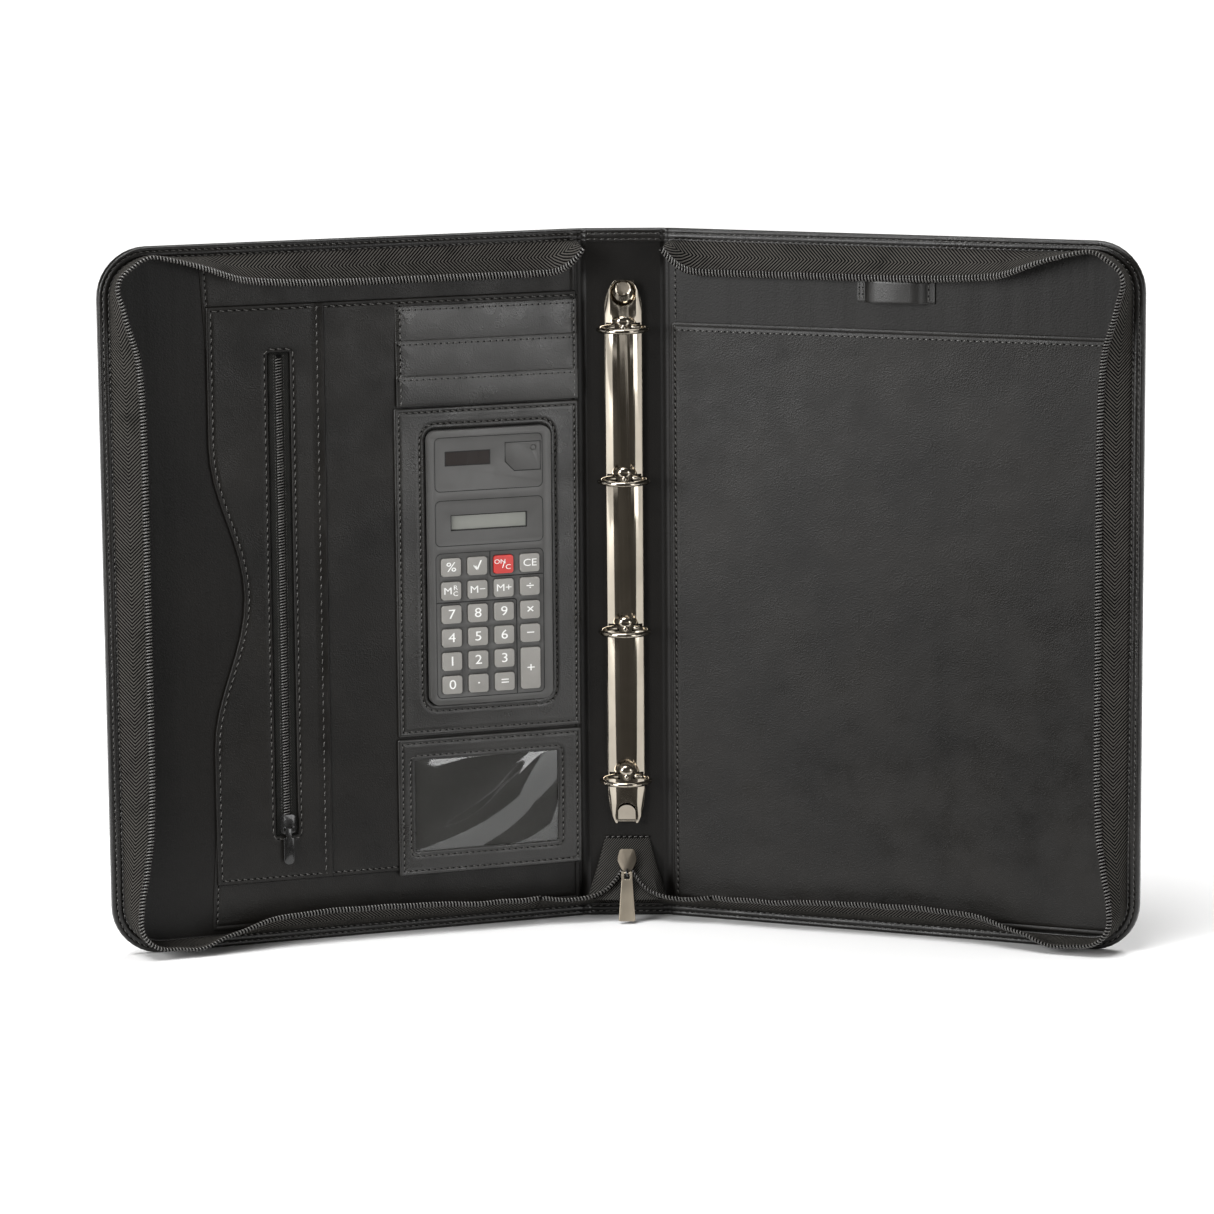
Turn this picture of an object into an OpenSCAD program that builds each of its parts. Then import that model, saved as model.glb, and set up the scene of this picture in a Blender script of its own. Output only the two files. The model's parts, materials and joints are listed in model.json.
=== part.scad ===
// Zip-round A4 portfolio case with a ring binder, standing open like a book.
// The origin is in the middle of the spine's foot. +X runs to the right cover,
// +Z up, and the inside of the case faces -Y.

/* [Case] */
// Height of the case
case_h = 368; // [360:1:400]
// Width of a cover from its hinge line to its outer edge
cover_w = 259; // [252:1:290]
// Distance from the middle of the spine to each hinge line
hinge_x = 22; // [22:0.5:26]
// Angle of each cover forward of lying flat
rest_angle = 20.5; // [0:0.5:30]
// Radius of the covers' outer corners
corner_r = 26; // [24:1:40]
// Width of the turned and stitched border
border_w = 7; // [5:0.5:9]

/* [Layers] */
// Thickness of the leatherette skin
skin_t = 1.4; // [1:0.1:2]
// Thickness of the stiffening boards
board_t = 2.2; // [1.5:0.1:3]
// Thickness of the lining
lining_t = 1.0; // [0.6:0.1:1.4]
// Thickness of one layer of pocket material
pocket_t = 0.8; // [0.5:0.1:1]

/* [Zip] */
// Distance of the chain from the cover's edge
zip_inset = 19.2; // [16:0.1:21]
// Height of the chain above the lining
zip_rise = 12; // [8:0.5:13]
// Angle by which the zip end leans forward of the spine
end_lean = 30; // [20:1:35]
// Length of the main pull
pull_l = 25.6; // [18:0.1:26]

/* [Ring mechanism] */
// Distance between neighbouring rings
ring_pitch = 80; // [70:1:80]
// Height of the lowest ring above the foot
ring_low = 77; // [76:1:84]
// Outer radius of a ring
ring_r = 14; // [12:0.5:14]
// Radius of the ring wire
wire_r = 1.3; // [1:0.1:1.5]
// Width of the cover plate
plate_w = 19.6; // [19:0.1:21]

/* [Organiser] */
// Width of the gusset pocket
pocket_w = 203; // [195:1:210]
// Length of the pocket zip
pocket_zip_l = 254; // [200:1:260]
// Width of the strip that holds cards, calculator and window
strip_w = 104; // [100:1:110]

/* [Calculator] */
// Width of the calculator
calc_w = 67.5; // [67:0.5:72]
// Height of the calculator
calc_h = 145; // [143:1:147]
// Thickness of the calculator without its keys
calc_t = 5.2; // [5:0.1:5.6]
// Distance between neighbouring key columns
key_pitch_x = 14.43; // [14:0.01:14.6]
// Distance between neighbouring key rows
key_pitch_z = 12.48; // [12.2:0.01:12.5]

/* [Hidden] */
$fn = 48;
back_y = 2.6;
board_y = back_y - skin_t;
lining_y = board_y - board_t;
inner_y = lining_y - lining_t;
hinge_y = inner_y - 1.4;
hinge_gap = 2;
spine_half = 19.5;
band_t = 1;
skin_depth = back_y - inner_y;

// places of the organiser, measured from the hinge line and from the foot
front_gap = 0.1;
document_d = 0;
gusset_d = document_d + pocket_t + front_gap;
strip_d = gusset_d + 1.4 + front_gap;
panel_u = 3;
pocket_z0 = 33;
pocket_z1 = 336;
slot_z0 = 279.5;
slot_tops = [332, 314, 295.5];
slot_t = 0.6;
frame_z0 = 105;
frame_z1 = 278.5;
window_z0 = 30.5;
window_z1 = 103.5;
strip_t = 1.6;
film_t = 0.4;
film_lap = 3;
view_u = [16, 95.5];
view_z = [43, 92];
pocket_zip_u = 165;
pocket_zip_z0 = 57;

// calculator
calc_u = 53.4;
calc_z = 193.8;
calc_r = 5;
calc_gap = 0.5;
calc_wall = 1.2;
calc_front_t = 1.6;
calc_front_d = strip_d + calc_t - calc_front_t;
key_u0 = 32.2;
key_z0 = 131.9;
key_w = 10.6;
key_h = 9.5;
key_r = 1.5;
key_play = 0.25;
key_proud = 1;
flange_t = 0.3;
flange_rim = 0.9;
lcd_u = [33, 75];
lcd_z = [213.3, 221.7];
solar_u = [53, 77.9];
solar_z = [247.6, 255.3];
hatch_u = [25.4, 44.9];
hatch_z = [243.3, 258.5];
hatch_screw = [29.3, 255.1];
recess = 0.3;
recess_r = 3;
recess_u = [24.2, 83.7];
keypad_z = [124.7, 201.8];
display_z = [205.3, 229.6];
solar_panel_z = [234.1, 262.8];

// ring mechanism
plate_z0 = 51.3;
plate_z1 = 341;
plate_crown = 5.7;
plate_t = 0.8;
ring_y = inner_y - 17.4;
wire_c = ring_r - wire_r;
arm_x = 5;
arm_angle = acos(arm_x / wire_c);
split_angle = 4;
split_gap = 1;
blade_pivot_x = 7.7;
blade_y = inner_y - 1.1;
blade_t = 0.8;
blade_z0 = 70;
blade_z1 = 327;
eyelet_z = 336.7;
eyelet_r = 3.6;
eyelet_flange = 0.9;
floor_t = 0.8;
wall = 0.8;
dish_r = [7.2, 5.2];
foot_dish_z = 57.2;
foot_dish_r = 5.3;
foot_slot_half = 4.9;
rivet_z = 58;
rivet_r = 2;
pin_r = 0.8;
lever_y = -4.1;
lever_z = 52.6;
lever_lean = 22;
ring_zs = [for (i = [0:3]) ring_low + i * ring_pitch];

// zip end
end_top_y = inner_y - 1.4;
end_top_z = 41.5;
end_foot_z = 12.5;
chain_half = 2.8;
chain_t = 3;
shield_t = 1.2;
shield_top = 6.4;
shield_l = 13;
bar_down = 20.4;
bar_out = 5.5;
pull_lean = 12;

// ---- frames of reference ----

// A cover's own frame: u = 0 at the hinge line, lying flat, turned to its rest angle
module on_right() {
    translate([hinge_x, hinge_y, 0])
        rotate([0, 0, -rest_angle])
            translate([0, -hinge_y, 0])
                children();
}

module on_left() {
    mirror([1, 0, 0])
        on_right()
            children();
}

// A flat layer with its back face at depth d in front of the lining
module layer(d, t) {
    translate([0, inner_y - d, 0])
        rotate([90, 0, 0])
            linear_extrude(t)
                children();
}

// A profile drawn in Y and Z, made as wide as 2 * half in X
module across(half) {
    translate([-half, 0, 0])
        rotate([90, 0, 90])
            linear_extrude(2 * half)
                children();
}

// The sloping face of the zip end: its own -Z runs down the chain
module on_end() {
    translate([0, end_top_y, end_top_z])
        rotate([-end_lean, 0, 0])
            children();
}

// ---- outlines ----

module box2(u, z) {
    translate([u[0], z[0]])
        square([u[1] - u[0], z[1] - z[0]]);
}

module round_box(u, z, r) {
    box2([u[0] + r, u[1] - r], z);
    box2(u, [z[0] + r, z[1] - r]);
    for (x = [u[0] + r, u[1] - r], y = [z[0] + r, z[1] - r])
        translate([x, y])
            circle(r);
}

// A cover's outline with its outer corners rounded, inset all round by e
module cover_outline(e) {
    r = corner_r - e;
    box2([hinge_gap, cover_w - corner_r], [e, case_h - e]);
    box2([hinge_gap, cover_w - e], [corner_r, case_h - corner_r]);
    for (z = [corner_r, case_h - corner_r])
        translate([cover_w - corner_r, z])
            circle(r);
}

// A section given as [inset, depth] points, swept round a cover's three free sides
module edge_sweep(section, top_u, foot_u) {
    pts = [for (p = section) [corner_r - p[0], -p[1]]];
    turned = [for (p = section) [corner_r - p[0], p[1]]];
    translate([cover_w - corner_r, inner_y, corner_r])
        linear_extrude(case_h - 2 * corner_r)
            polygon(pts);
    translate([cover_w - corner_r, inner_y, case_h - corner_r]) {
        rotate([0, -90, 0])
            linear_extrude(cover_w - corner_r - top_u)
                polygon(pts);
        rotate([90, 0, 0])
            rotate_extrude(angle = 90)
                polygon(turned);
    }
    translate([cover_w - corner_r, inner_y, corner_r])
        mirror([0, 0, 1]) {
            rotate([0, -90, 0])
                linear_extrude(cover_w - corner_r - foot_u)
                    polygon(pts);
            rotate([90, 0, 0])
                rotate_extrude(angle = 90)
                    polygon(turned);
        }
}

// ---- case ----

module cover_skin() {
    lip = 0.9;
    translate([0, back_y, 0])
        rotate([90, 0, 0])
            linear_extrude(skin_t)
                cover_outline(skin_t);
    edge_sweep([[lip, -skin_depth], [skin_t, -skin_depth], [skin_t, 0], [border_w, 0],
        [border_w, band_t], [lip, band_t], [0, band_t - lip], [0, lip - skin_depth]],
        hinge_gap, hinge_gap);
}

module cover_board() {
    translate([0, board_y, 0])
        rotate([90, 0, 0])
            linear_extrude(board_t)
                cover_outline(skin_t);
}

module cover_lining() {
    translate([0, lining_y, 0])
        rotate([90, 0, 0])
            linear_extrude(lining_t)
                cover_outline(skin_t);
}

module zip_tape() {
    edge_sweep([[border_w - 1.5, band_t], [border_w, band_t], [zip_inset, zip_rise - 0.4],
        [zip_inset - 0.8, zip_rise + 0.4]], 8, 22);
    edge_sweep([[zip_inset - 0.4, zip_rise - 0.8], [zip_inset + 1.4, zip_rise + 0.4],
        [zip_inset + 0.2, zip_rise + 2], [zip_inset - 1.3, zip_rise + 0.6]], 8, 22);
}

module left_cover_skin() {
    color("#242423")
        on_left()
            cover_skin();
}

module right_cover_skin() {
    color("#242423")
        on_right()
            cover_skin();
}

module left_board() {
    color("#8a8378")
        on_left()
            cover_board();
}

module right_board() {
    color("#8a8378")
        on_right()
            cover_board();
}

module left_lining() {
    color("#333231")
        on_left()
            cover_lining();
}

module right_lining() {
    color("#333231")
        on_right()
            cover_lining();
}

module left_zip_tape() {
    color("#2b2b2a")
        on_left()
            zip_tape();
}

module right_zip_tape() {
    color("#2b2b2a")
        on_right()
            zip_tape();
}

module spine_skin() {
    color("#242423")
        across(spine_half)
            difference() {
                box2([inner_y - band_t, back_y], [0, case_h]);
                box2([inner_y, back_y - skin_t], [skin_t, case_h - skin_t]);
                box2([inner_y - 2 * band_t, inner_y + 0.1], [border_w, case_h - border_w]);
            }
}

module spine_board() {
    color("#8a8378")
        across(spine_half)
            box2([lining_y, board_y], [skin_t, case_h - skin_t]);
}

module spine_lining() {
    color("#333231")
        difference() {
            across(spine_half)
                box2([inner_y, lining_y], [skin_t, case_h - skin_t]);
            translate([0, inner_y - 1, eyelet_z])
                rotate([-90, 0, 0])
                    cylinder(h = 3, r = eyelet_r + 0.05);
            translate([0, inner_y - 1, rivet_z])
                rotate([-90, 0, 0])
                    cylinder(h = 3, r = rivet_r + 0.05);
        }
}

// ---- zip end on the spine ----

module zip_gusset() {
    top_half = 12;
    foot_half = 17;
    notch_half = 5.3;
    notch_z = 15.5;
    foot_y = end_top_y - (end_top_z - end_foot_z) * tan(end_lean);
    color("#2b2b2a") {
        difference() {
            intersection() {
                across(foot_half)
                    polygon([[inner_y, end_top_z], [end_top_y, end_top_z],
                        [foot_y, end_foot_z], [inner_y, end_foot_z]]);
                translate([0, inner_y, 0])
                    rotate([90, 0, 0])
                        linear_extrude(30)
                            polygon([[-top_half, end_top_z], [top_half, end_top_z],
                                [foot_half, end_foot_z], [-foot_half, end_foot_z]]);
            }
            across(notch_half)
                box2([-30, inner_y - 4], [0, notch_z]);
        }
        on_end()
            translate([-chain_half, -chain_t, -shield_top - shield_l + 1])
                cube([2 * chain_half, chain_t, shield_top + shield_l - 2]);
    }
}

module zip_slider() {
    half = 5.3;
    top_half = 4;
    tip_r = 3;
    flange_w = 1.3;
    post = 1;
    arch_half = 1;
    arch_top = 11.5;
    arch_foot = bar_down + 2;
    arch_out = bar_out + 2;
    shield_out = chain_t + 0.2;
    color("#9c958a")
        on_end() {
            translate([0, -shield_out, -shield_top])
                rotate([90, 0, 0])
                    linear_extrude(shield_t) {
                        polygon([[-top_half, 0], [top_half, 0], [half, -shield_l * 0.45],
                            [half - 0.8, -shield_l * 0.65], [tip_r * 0.8, 1.2 - shield_l],
                            [-tip_r * 0.8, 1.2 - shield_l], [0.8 - half, -shield_l * 0.65],
                            [-half, -shield_l * 0.45]]);
                        translate([0, tip_r - shield_l])
                            circle(tip_r);
                    }
            for (x = [-chain_half - 0.3 - flange_w, chain_half + 0.3])
                translate([x, -shield_out - 0.5, -shield_top - shield_l * 0.7])
                    cube([flange_w, shield_out + 0.2, shield_l * 0.6]);
            translate([0, 0, -arch_foot])
                across(arch_half)
                    difference() {
                        box2([-arch_out, -shield_out - 0.5], [0, arch_foot - arch_top]);
                        box2([1 - arch_out, 0], [post, arch_foot - arch_top - post]);
                    }
        }
}

module zip_pull() {
    bar_r = 0.7;
    arm = [1.4, 2.9];
    plate_from = 3.6;
    half_top = 2.9;
    half_foot = 4.5;
    t = 1.3;
    color("#9c958a")
        on_end()
            translate([0, -bar_out, -bar_down])
                rotate([end_lean - pull_lean, 0, 0]) {
                    translate([-arm[1], 0, 0])
                        rotate([0, 90, 0])
                            cylinder(h = 2 * arm[1], r = bar_r);
                    translate([0, t / 2, 0])
                        rotate([90, 0, 0])
                            linear_extrude(t) {
                                box2([-arm[1], -arm[0]], [-plate_from - 0.5, 0.7]);
                                box2([arm[0], arm[1]], [-plate_from - 0.5, 0.7]);
                                polygon([[-half_top, -plate_from], [half_top, -plate_from],
                                    [half_foot, -pull_l], [-half_foot, -pull_l]]);
                            }
                }
}

// ---- left organiser ----

module document_pocket() {
    color("#333231")
        on_left()
            layer(document_d, pocket_t)
                box2([panel_u, pocket_w + 0.5], [14, case_h - 14]);
}

module gusset_pocket() {
    scoop_r = 190;
    scoop_in = 17.5;
    zip_slot = 6;
    color("#2e2d2c")
        on_left()
            layer(gusset_d, 1.4)
                difference() {
                    box2([panel_u, pocket_w], [pocket_z0, pocket_z1]);
                    translate([pocket_w + scoop_r - scoop_in, (pocket_z0 + pocket_z1) / 2])
                        circle(scoop_r);
                    box2([pocket_zip_u - zip_slot, pocket_zip_u + zip_slot],
                        [pocket_zip_z0, pocket_zip_z0 + pocket_zip_l]);
                }
}

module pocket_zip_tape() {
    tape_half = 5.9;
    coil_half = 1.6;
    color("#1d1d1d")
        on_left() {
            layer(gusset_d, 0.7)
                box2([pocket_zip_u - tape_half, pocket_zip_u + tape_half],
                    [pocket_zip_z0 + 0.1, pocket_zip_z0 + pocket_zip_l - 0.1]);
            layer(gusset_d + 0.7, 1.1)
                box2([pocket_zip_u - coil_half, pocket_zip_u + coil_half],
                    [pocket_zip_z0 + 1, pocket_zip_z0 + pocket_zip_l - 1]);
        }
}

module pocket_zip_slider() {
    half = 4;
    coil_gap = 1.9;
    z = [pocket_zip_z0 + 1.5, pocket_zip_z0 + 11.5];
    color("#1a1a1a")
        on_left() {
            layer(gusset_d + 2, 1)
                round_box([pocket_zip_u - half, pocket_zip_u + half], z, 2);
            for (u = [[pocket_zip_u - 3.4, pocket_zip_u - coil_gap],
                [pocket_zip_u + coil_gap, pocket_zip_u + 3.4]])
                layer(gusset_d + 0.9, 1.2)
                    box2(u, [z[0] + 1.5, z[1] - 1.5]);
            layer(gusset_d + 2.9, 1.4)
                difference() {
                    box2([pocket_zip_u - 3, pocket_zip_u + 3], [z[0] + 1, z[0] + 4]);
                    box2([pocket_zip_u - 1.8, pocket_zip_u + 1.8], [z[0], z[0] + 5]);
                }
        }
}

module pocket_zip_pull() {
    pin_z = pocket_zip_z0 + 4;
    pull_top = pin_z + 0.4;
    half = 2.8;
    l = 19.4;
    color("#1a1a1a")
        on_left()
            layer(gusset_d + 3.2, 0.9) {
                box2([pocket_zip_u - 1.5, pocket_zip_u + 1.5], [pull_top - 6, pull_top]);
                box2([pocket_zip_u - half, pocket_zip_u + half],
                    [pull_top - l + half, pull_top - 5]);
                translate([pocket_zip_u, pull_top - l + half])
                    circle(half);
            }
}

module card_slots() {
    color("#302f2e")
        on_left()
            for (i = [0:2])
                layer(strip_d + i * (slot_t + front_gap), slot_t)
                    box2([panel_u, strip_w - 1.5], [slot_z0, slot_tops[i]]);
}

module calculator_frame() {
    hole_u = [calc_u - calc_w / 2 - calc_gap, calc_u + calc_w / 2 + calc_gap];
    hole_z = [calc_z - calc_h / 2 - calc_gap, calc_z + calc_h / 2 + calc_gap];
    color("#302f2e")
        on_left()
            layer(strip_d, strip_t)
                difference() {
                    box2([panel_u, strip_w], [frame_z0, frame_z1]);
                    round_box(hole_u, hole_z, calc_r);
                }
}

module id_window_frame() {
    color("#302f2e")
        on_left() {
            layer(strip_d + 0.6, strip_t - 0.6)
                difference() {
                    box2([panel_u, strip_w + 0.5], [window_z0, window_z1]);
                    box2(view_u, view_z);
                }
            layer(strip_d, 0.6)
                difference() {
                    box2([panel_u, strip_w + 0.5], [window_z0, window_z1]);
                    box2([view_u[0] - film_lap, view_u[1] + film_lap],
                        [view_z[0] - film_lap, view_z[1] + film_lap]);
                }
        }
}

module id_window_film() {
    color([0.8, 0.82, 0.84, 0.4])
        on_left()
            layer(strip_d + 0.1, film_t)
                box2([view_u[0] - film_lap + 0.1, view_u[1] + film_lap - 0.1],
                    [view_z[0] - film_lap + 0.1, view_z[1] + film_lap - 0.1]);
}

// ---- right organiser ----

module pad_pocket() {
    color("#333231")
        on_right()
            layer(0, 1.2)
                box2([panel_u, cover_w - 21], [14, 319]);
}

module pen_loop() {
    loop_u = [106, 148];
    loop_z = [333, 344.5];
    foot = 4;
    gap = 4.8;
    t = 1;
    color("#262626")
        on_right()
            translate([0, inner_y, loop_z[0]])
                linear_extrude(loop_z[1] - loop_z[0])
                    difference() {
                        polygon([[loop_u[0], 0], [loop_u[1], 0], [loop_u[1], -t],
                            [loop_u[1] - foot, -t - 0.2], [loop_u[1] - foot - 4, -gap - t],
                            [loop_u[0] + foot + 4, -gap - t], [loop_u[0] + foot, -t - 0.2],
                            [loop_u[0], -t]]);
                        polygon([[loop_u[0] + foot, 1], [loop_u[1] - foot, 1],
                            [loop_u[1] - foot - 0.8, -t], [loop_u[1] - foot - 4.3, -gap],
                            [loop_u[0] + foot + 4.3, -gap], [loop_u[0] + foot + 0.8, -t]]);
                    }
}

// ---- ring mechanism ----

// The plate's section: upright sides, two flats on each slope and a shallow crown
module arch_section(half, crown) {
    side = [[0, 0], [0, 0.5], [0.3, 0.84], [0.64, 0.96], [1, 1]];
    polygon([for (p = side) [half * (p[0] - 1), -crown * p[1]],
        for (i = [len(side) - 2:-1:0]) [half * (1 - side[i][0]), -crown * side[i][1]]]);
}

module plate_body(half, crown) {
    translate([0, inner_y, plate_z0])
        linear_extrude(plate_z1 - plate_z0)
            arch_section(half, crown);
}

// The plate's front outline: a curved foot and two horns round the eyelet
module plate_outline() {
    half = plate_w / 2;
    side = [[5.9, plate_z0], [7.7, plate_z0 + 4], [9, plate_z0 + 9], [9.6, plate_z0 + 14],
        [half, plate_z0 + 18], [half, plate_z1 - 13], [half - 0.7, plate_z1 - 9],
        [half - 2.1, plate_z1 - 5], [half - 3.7, plate_z1 - 2], [half - 4.9, plate_z1]];
    polygon([each side, for (i = [len(side) - 1:-1:0]) [-side[i][0], side[i][1]]]);
}

module along_y(from, to, r) {
    translate([0, from, 0])
        rotate([90, 0, 0])
            cylinder(h = from - to, r = r);
}

// A dish that narrows from the plate's crown to its floor
module dish_cone(z, crown_r, floor_r) {
    deep = plate_crown - floor_t;
    slope = (crown_r - floor_r) / deep;
    translate([0, inner_y - floor_t, z])
        rotate([90, 0, 0])
            cylinder(h = deep + 1, r1 = floor_r, r2 = crown_r + slope);
}

// A box from the plate's foot up to height z, as wide as 2 * half
module foot_slot(half, z, from_y) {
    translate([-half, -30, plate_z0 - 1])
        cube([2 * half, 30 + from_y, z - plate_z0 + 1]);
}

module ring_plate() {
    slot = [3.4, 9];
    slot_half = 1.9;
    deep = 30;
    color("#c9c5bd")
        intersection() {
            translate([0, inner_y, 0])
                rotate([90, 0, 0])
                    linear_extrude(deep)
                        plate_outline();
            difference() {
                union() {
                    difference() {
                        plate_body(plate_w / 2, plate_crown);
                        translate([0, 1, 0])
                            plate_body(plate_w / 2 - plate_t, plate_crown + 1 - plate_t);
                    }
                    intersection() {
                        plate_body(plate_w / 2, plate_crown);
                        union() {
                            translate([0, 0, eyelet_z - 2])
                                along_y(inner_y, inner_y - floor_t, dish_r[1] + wall);
                            dish_cone(eyelet_z - 2, dish_r[0] + wall, dish_r[1] + wall);
                            translate([0, 0, foot_dish_z])
                                along_y(inner_y, -deep, foot_dish_r + wall);
                            foot_slot(foot_slot_half + wall, foot_dish_z, inner_y);
                        }
                    }
                }
                dish_cone(eyelet_z - 2, dish_r[0], dish_r[1]);
                translate([0, 0, eyelet_z]) {
                    along_y(2, -deep, eyelet_r + 0.05);
                    along_y(inner_y - floor_t, -deep, eyelet_r + eyelet_flange + 0.05);
                }
                translate([0, 0, foot_dish_z])
                    along_y(inner_y - floor_t, -deep, foot_dish_r);
                foot_slot(foot_slot_half, foot_dish_z, inner_y - floor_t);
                translate([0, 0, rivet_z])
                    along_y(2, -deep, rivet_r + 0.05);
                translate([-10, lever_y, lever_z])
                    rotate([0, 90, 0])
                        cylinder(h = 20, r = pin_r + 0.05);
                for (z = ring_zs, s = [-1, 1])
                    translate([s * (slot[0] + slot[1]) / 2 - (slot[1] - slot[0]) / 2,
                        -deep, z - slot_half])
                        cube([slot[1] - slot[0], deep + inner_y - 0.5, 2 * slot_half]);
            }
        }
}

// One blade with its half rings, drawn for the left side; span is the half ring's sweep
module ring_blade(span) {
    translate([-blade_pivot_x - 0.3, blade_y - blade_t / 2, blade_z0])
        cube([blade_pivot_x, blade_t, blade_z1 - blade_z0]);
    for (z = ring_zs)
        translate([0, 0, z]) {
            translate([-arm_x, 0, 0])
                along_y(blade_y, ring_y + wire_c * sin(arm_angle), wire_r);
            translate([0, ring_y, 0])
                rotate([0, 0, 180 - arm_angle])
                    rotate_extrude(angle = span)
                        translate([wire_c, 0])
                            circle(wire_r);
        }
}

module left_ring_blade() {
    color("#bdb9b1")
        ring_blade(90 + arm_angle + split_angle);
}

module right_ring_blade() {
    color("#bdb9b1")
        mirror([1, 0, 0])
            ring_blade(90 + arm_angle - split_angle - split_gap);
}

// A round-topped thumb tab that leans forward from the pin at its foot
module ring_lever() {
    half = 4.6;
    t = 1;
    tab_l = 9.6;
    color("#c2beb6")
        translate([0, lever_y, lever_z]) {
            translate([-5.4, 0, 0])
                rotate([0, 90, 0])
                    cylinder(h = 10.8, r = pin_r);
            rotate([lever_lean, 0, 0])
                translate([0, t / 2, 0])
                    rotate([90, 0, 0])
                        linear_extrude(t) {
                            box2([-half, half], [-0.6, tab_l - half]);
                            translate([0, tab_l - half])
                                circle(half);
                        }
        }
}

module plate_rivets() {
    flange_t = 0.6;
    color("#b5b0a6") {
        translate([0, 0, eyelet_z])
            difference() {
                union() {
                    along_y(lining_y, inner_y - floor_t, eyelet_r);
                    along_y(inner_y - floor_t, inner_y - floor_t - flange_t, eyelet_r + eyelet_flange);
                }
                along_y(back_y, -12, eyelet_r - 0.5);
            }
        translate([0, 0, rivet_z]) {
            along_y(lining_y, inner_y - floor_t, rivet_r);
            along_y(inner_y - floor_t, inner_y - floor_t - flange_t, rivet_r + 0.8);
        }
    }
}

// ---- calculator ----

module calc_outline(e) {
    round_box([calc_u - calc_w / 2 + e, calc_u + calc_w / 2 - e],
        [calc_z - calc_h / 2 + e, calc_z + calc_h / 2 - e], calc_r - e);
}

module calculator_back() {
    sole_t = 0.8;
    color("#2f2f31")
        on_left() {
            layer(strip_d, sole_t)
                calc_outline(0);
            layer(strip_d + sole_t, calc_t - calc_front_t - sole_t)
                difference() {
                    calc_outline(0);
                    calc_outline(calc_wall);
                }
        }
}

module key_outline(i, j, tall, grow) {
    u = key_u0 + i * key_pitch_x;
    z = key_z0 + j * key_pitch_z;
    round_box([u - key_w / 2 - grow, u + key_w / 2 + grow],
        [z - key_h / 2 - grow, z + key_h / 2 + grow + (tall ? key_pitch_z : 0)], key_r);
}

// The battery hatch, with its outer lower corner cut off
module hatch_outline(e) {
    u = [hatch_u[0] + e, hatch_u[1] - e];
    z = [hatch_z[0] + e, hatch_z[1] - e];
    cut = 5;
    polygon([[u[0], z[0]], [u[1] - cut, z[0]], [u[1], z[0] + cut], [u[1], z[1]], [u[0], z[1]]]);
}

module calculator_front() {
    color("#3a3a3d")
        on_left() {
            layer(calc_front_d, calc_front_t - recess)
                difference() {
                    calc_outline(0);
                    for (i = [0:3], j = [0:5])
                        if (!(i == 0 && j < 2))
                            key_outline(i, j, false, key_play);
                    key_outline(0, 0, true, key_play);
                    box2(lcd_u, lcd_z);
                    box2(solar_u, solar_z);
                    hatch_outline(0);
                }
            layer(calc_front_d + calc_front_t - recess, recess)
                difference() {
                    calc_outline(0);
                    for (z = [keypad_z, display_z, solar_panel_z])
                        round_box(recess_u, z, recess_r);
                }
        }
}

module solar_cell() {
    t = 0.8;
    color("#3b2a20")
        on_left()
            layer(calc_front_d + calc_front_t - recess - t - 0.1, t)
                box2([solar_u[0] + 0.1, solar_u[1] - 0.1], [solar_z[0] + 0.1, solar_z[1] - 0.1]);
}

module lcd_panel() {
    t = 1;
    color("#8b9488")
        on_left()
            layer(calc_front_d - t - 0.05, t)
                box2([lcd_u[0] - 2, lcd_u[1] + 2], [lcd_z[0] - 2, lcd_z[1] + 2]);
}

module circuit_board() {
    board = 0.8;
    board_d = strip_d + 0.9;
    cell_r = 5.5;
    color("#2f6b3c")
        on_left() {
            layer(board_d, board)
                calc_outline(calc_wall + 0.4);
            layer(board_d + board, 1.2)
                translate([(hatch_u[0] + hatch_u[1]) / 2, (hatch_z[0] + hatch_z[1]) / 2])
                    circle(cell_r);
        }
}

module keypad_mat() {
    color("#6b6b6b")
        on_left()
            layer(strip_d + 1.75, 0.5)
                box2([calc_u - 31, calc_u + 31], keypad_z);
}

module battery_cover() {
    t = 1.1;
    color("#3a3a3d")
        on_left() {
            difference() {
                layer(calc_front_d + calc_front_t - recess - t, t)
                    hatch_outline(0.15);
                layer(calc_front_d + calc_front_t - recess - 0.4, 1)
                    translate(hatch_screw)
                        circle(1.5);
            }
            layer(calc_front_d + calc_front_t - recess - 0.35, 0.3)
                translate(hatch_screw)
                    circle(1.3);
        }
}

// A key with a round-cornered cap and a flange that the front holds down
module key(i, j, tall = false, tint = "#55524f") {
    flange_d = calc_front_d - 0.1 - flange_t;
    color(tint)
        on_left() {
            layer(flange_d, flange_t)
                key_outline(i, j, tall, flange_rim);
            layer(flange_d + flange_t, calc_front_t + 0.1 + key_proud)
                key_outline(i, j, tall, 0);
        }
}

left_cover_skin();
spine_skin();
right_cover_skin();
left_board();
spine_board();
right_board();
left_lining();
spine_lining();
right_lining();
left_zip_tape();
right_zip_tape();
zip_gusset();
zip_slider();
zip_pull();
document_pocket();
gusset_pocket();
pocket_zip_tape();
pocket_zip_slider();
pocket_zip_pull();
card_slots();
calculator_frame();
id_window_frame();
id_window_film();
pad_pocket();
pen_loop();
ring_plate();
left_ring_blade();
right_ring_blade();
ring_lever();
plate_rivets();
calculator_back();
calculator_front();
solar_cell();
lcd_panel();
circuit_board();
keypad_mat();
battery_cover();
key(3, 0);  // key_0
key(3, 1);  // key_1
key(2, 1);  // key_2
key(1, 1);  // key_3
key(3, 2);  // key_4
key(2, 2);  // key_5
key(1, 2);  // key_6
key(3, 3);  // key_7
key(2, 3);  // key_8
key(1, 3);  // key_9
key(2, 0);  // key_decimal
key(1, 0);  // key_equals
key(0, 0, tall = true);  // key_plus
key(0, 2);  // key_minus
key(0, 3);  // key_times
key(0, 4);  // key_divide
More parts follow.
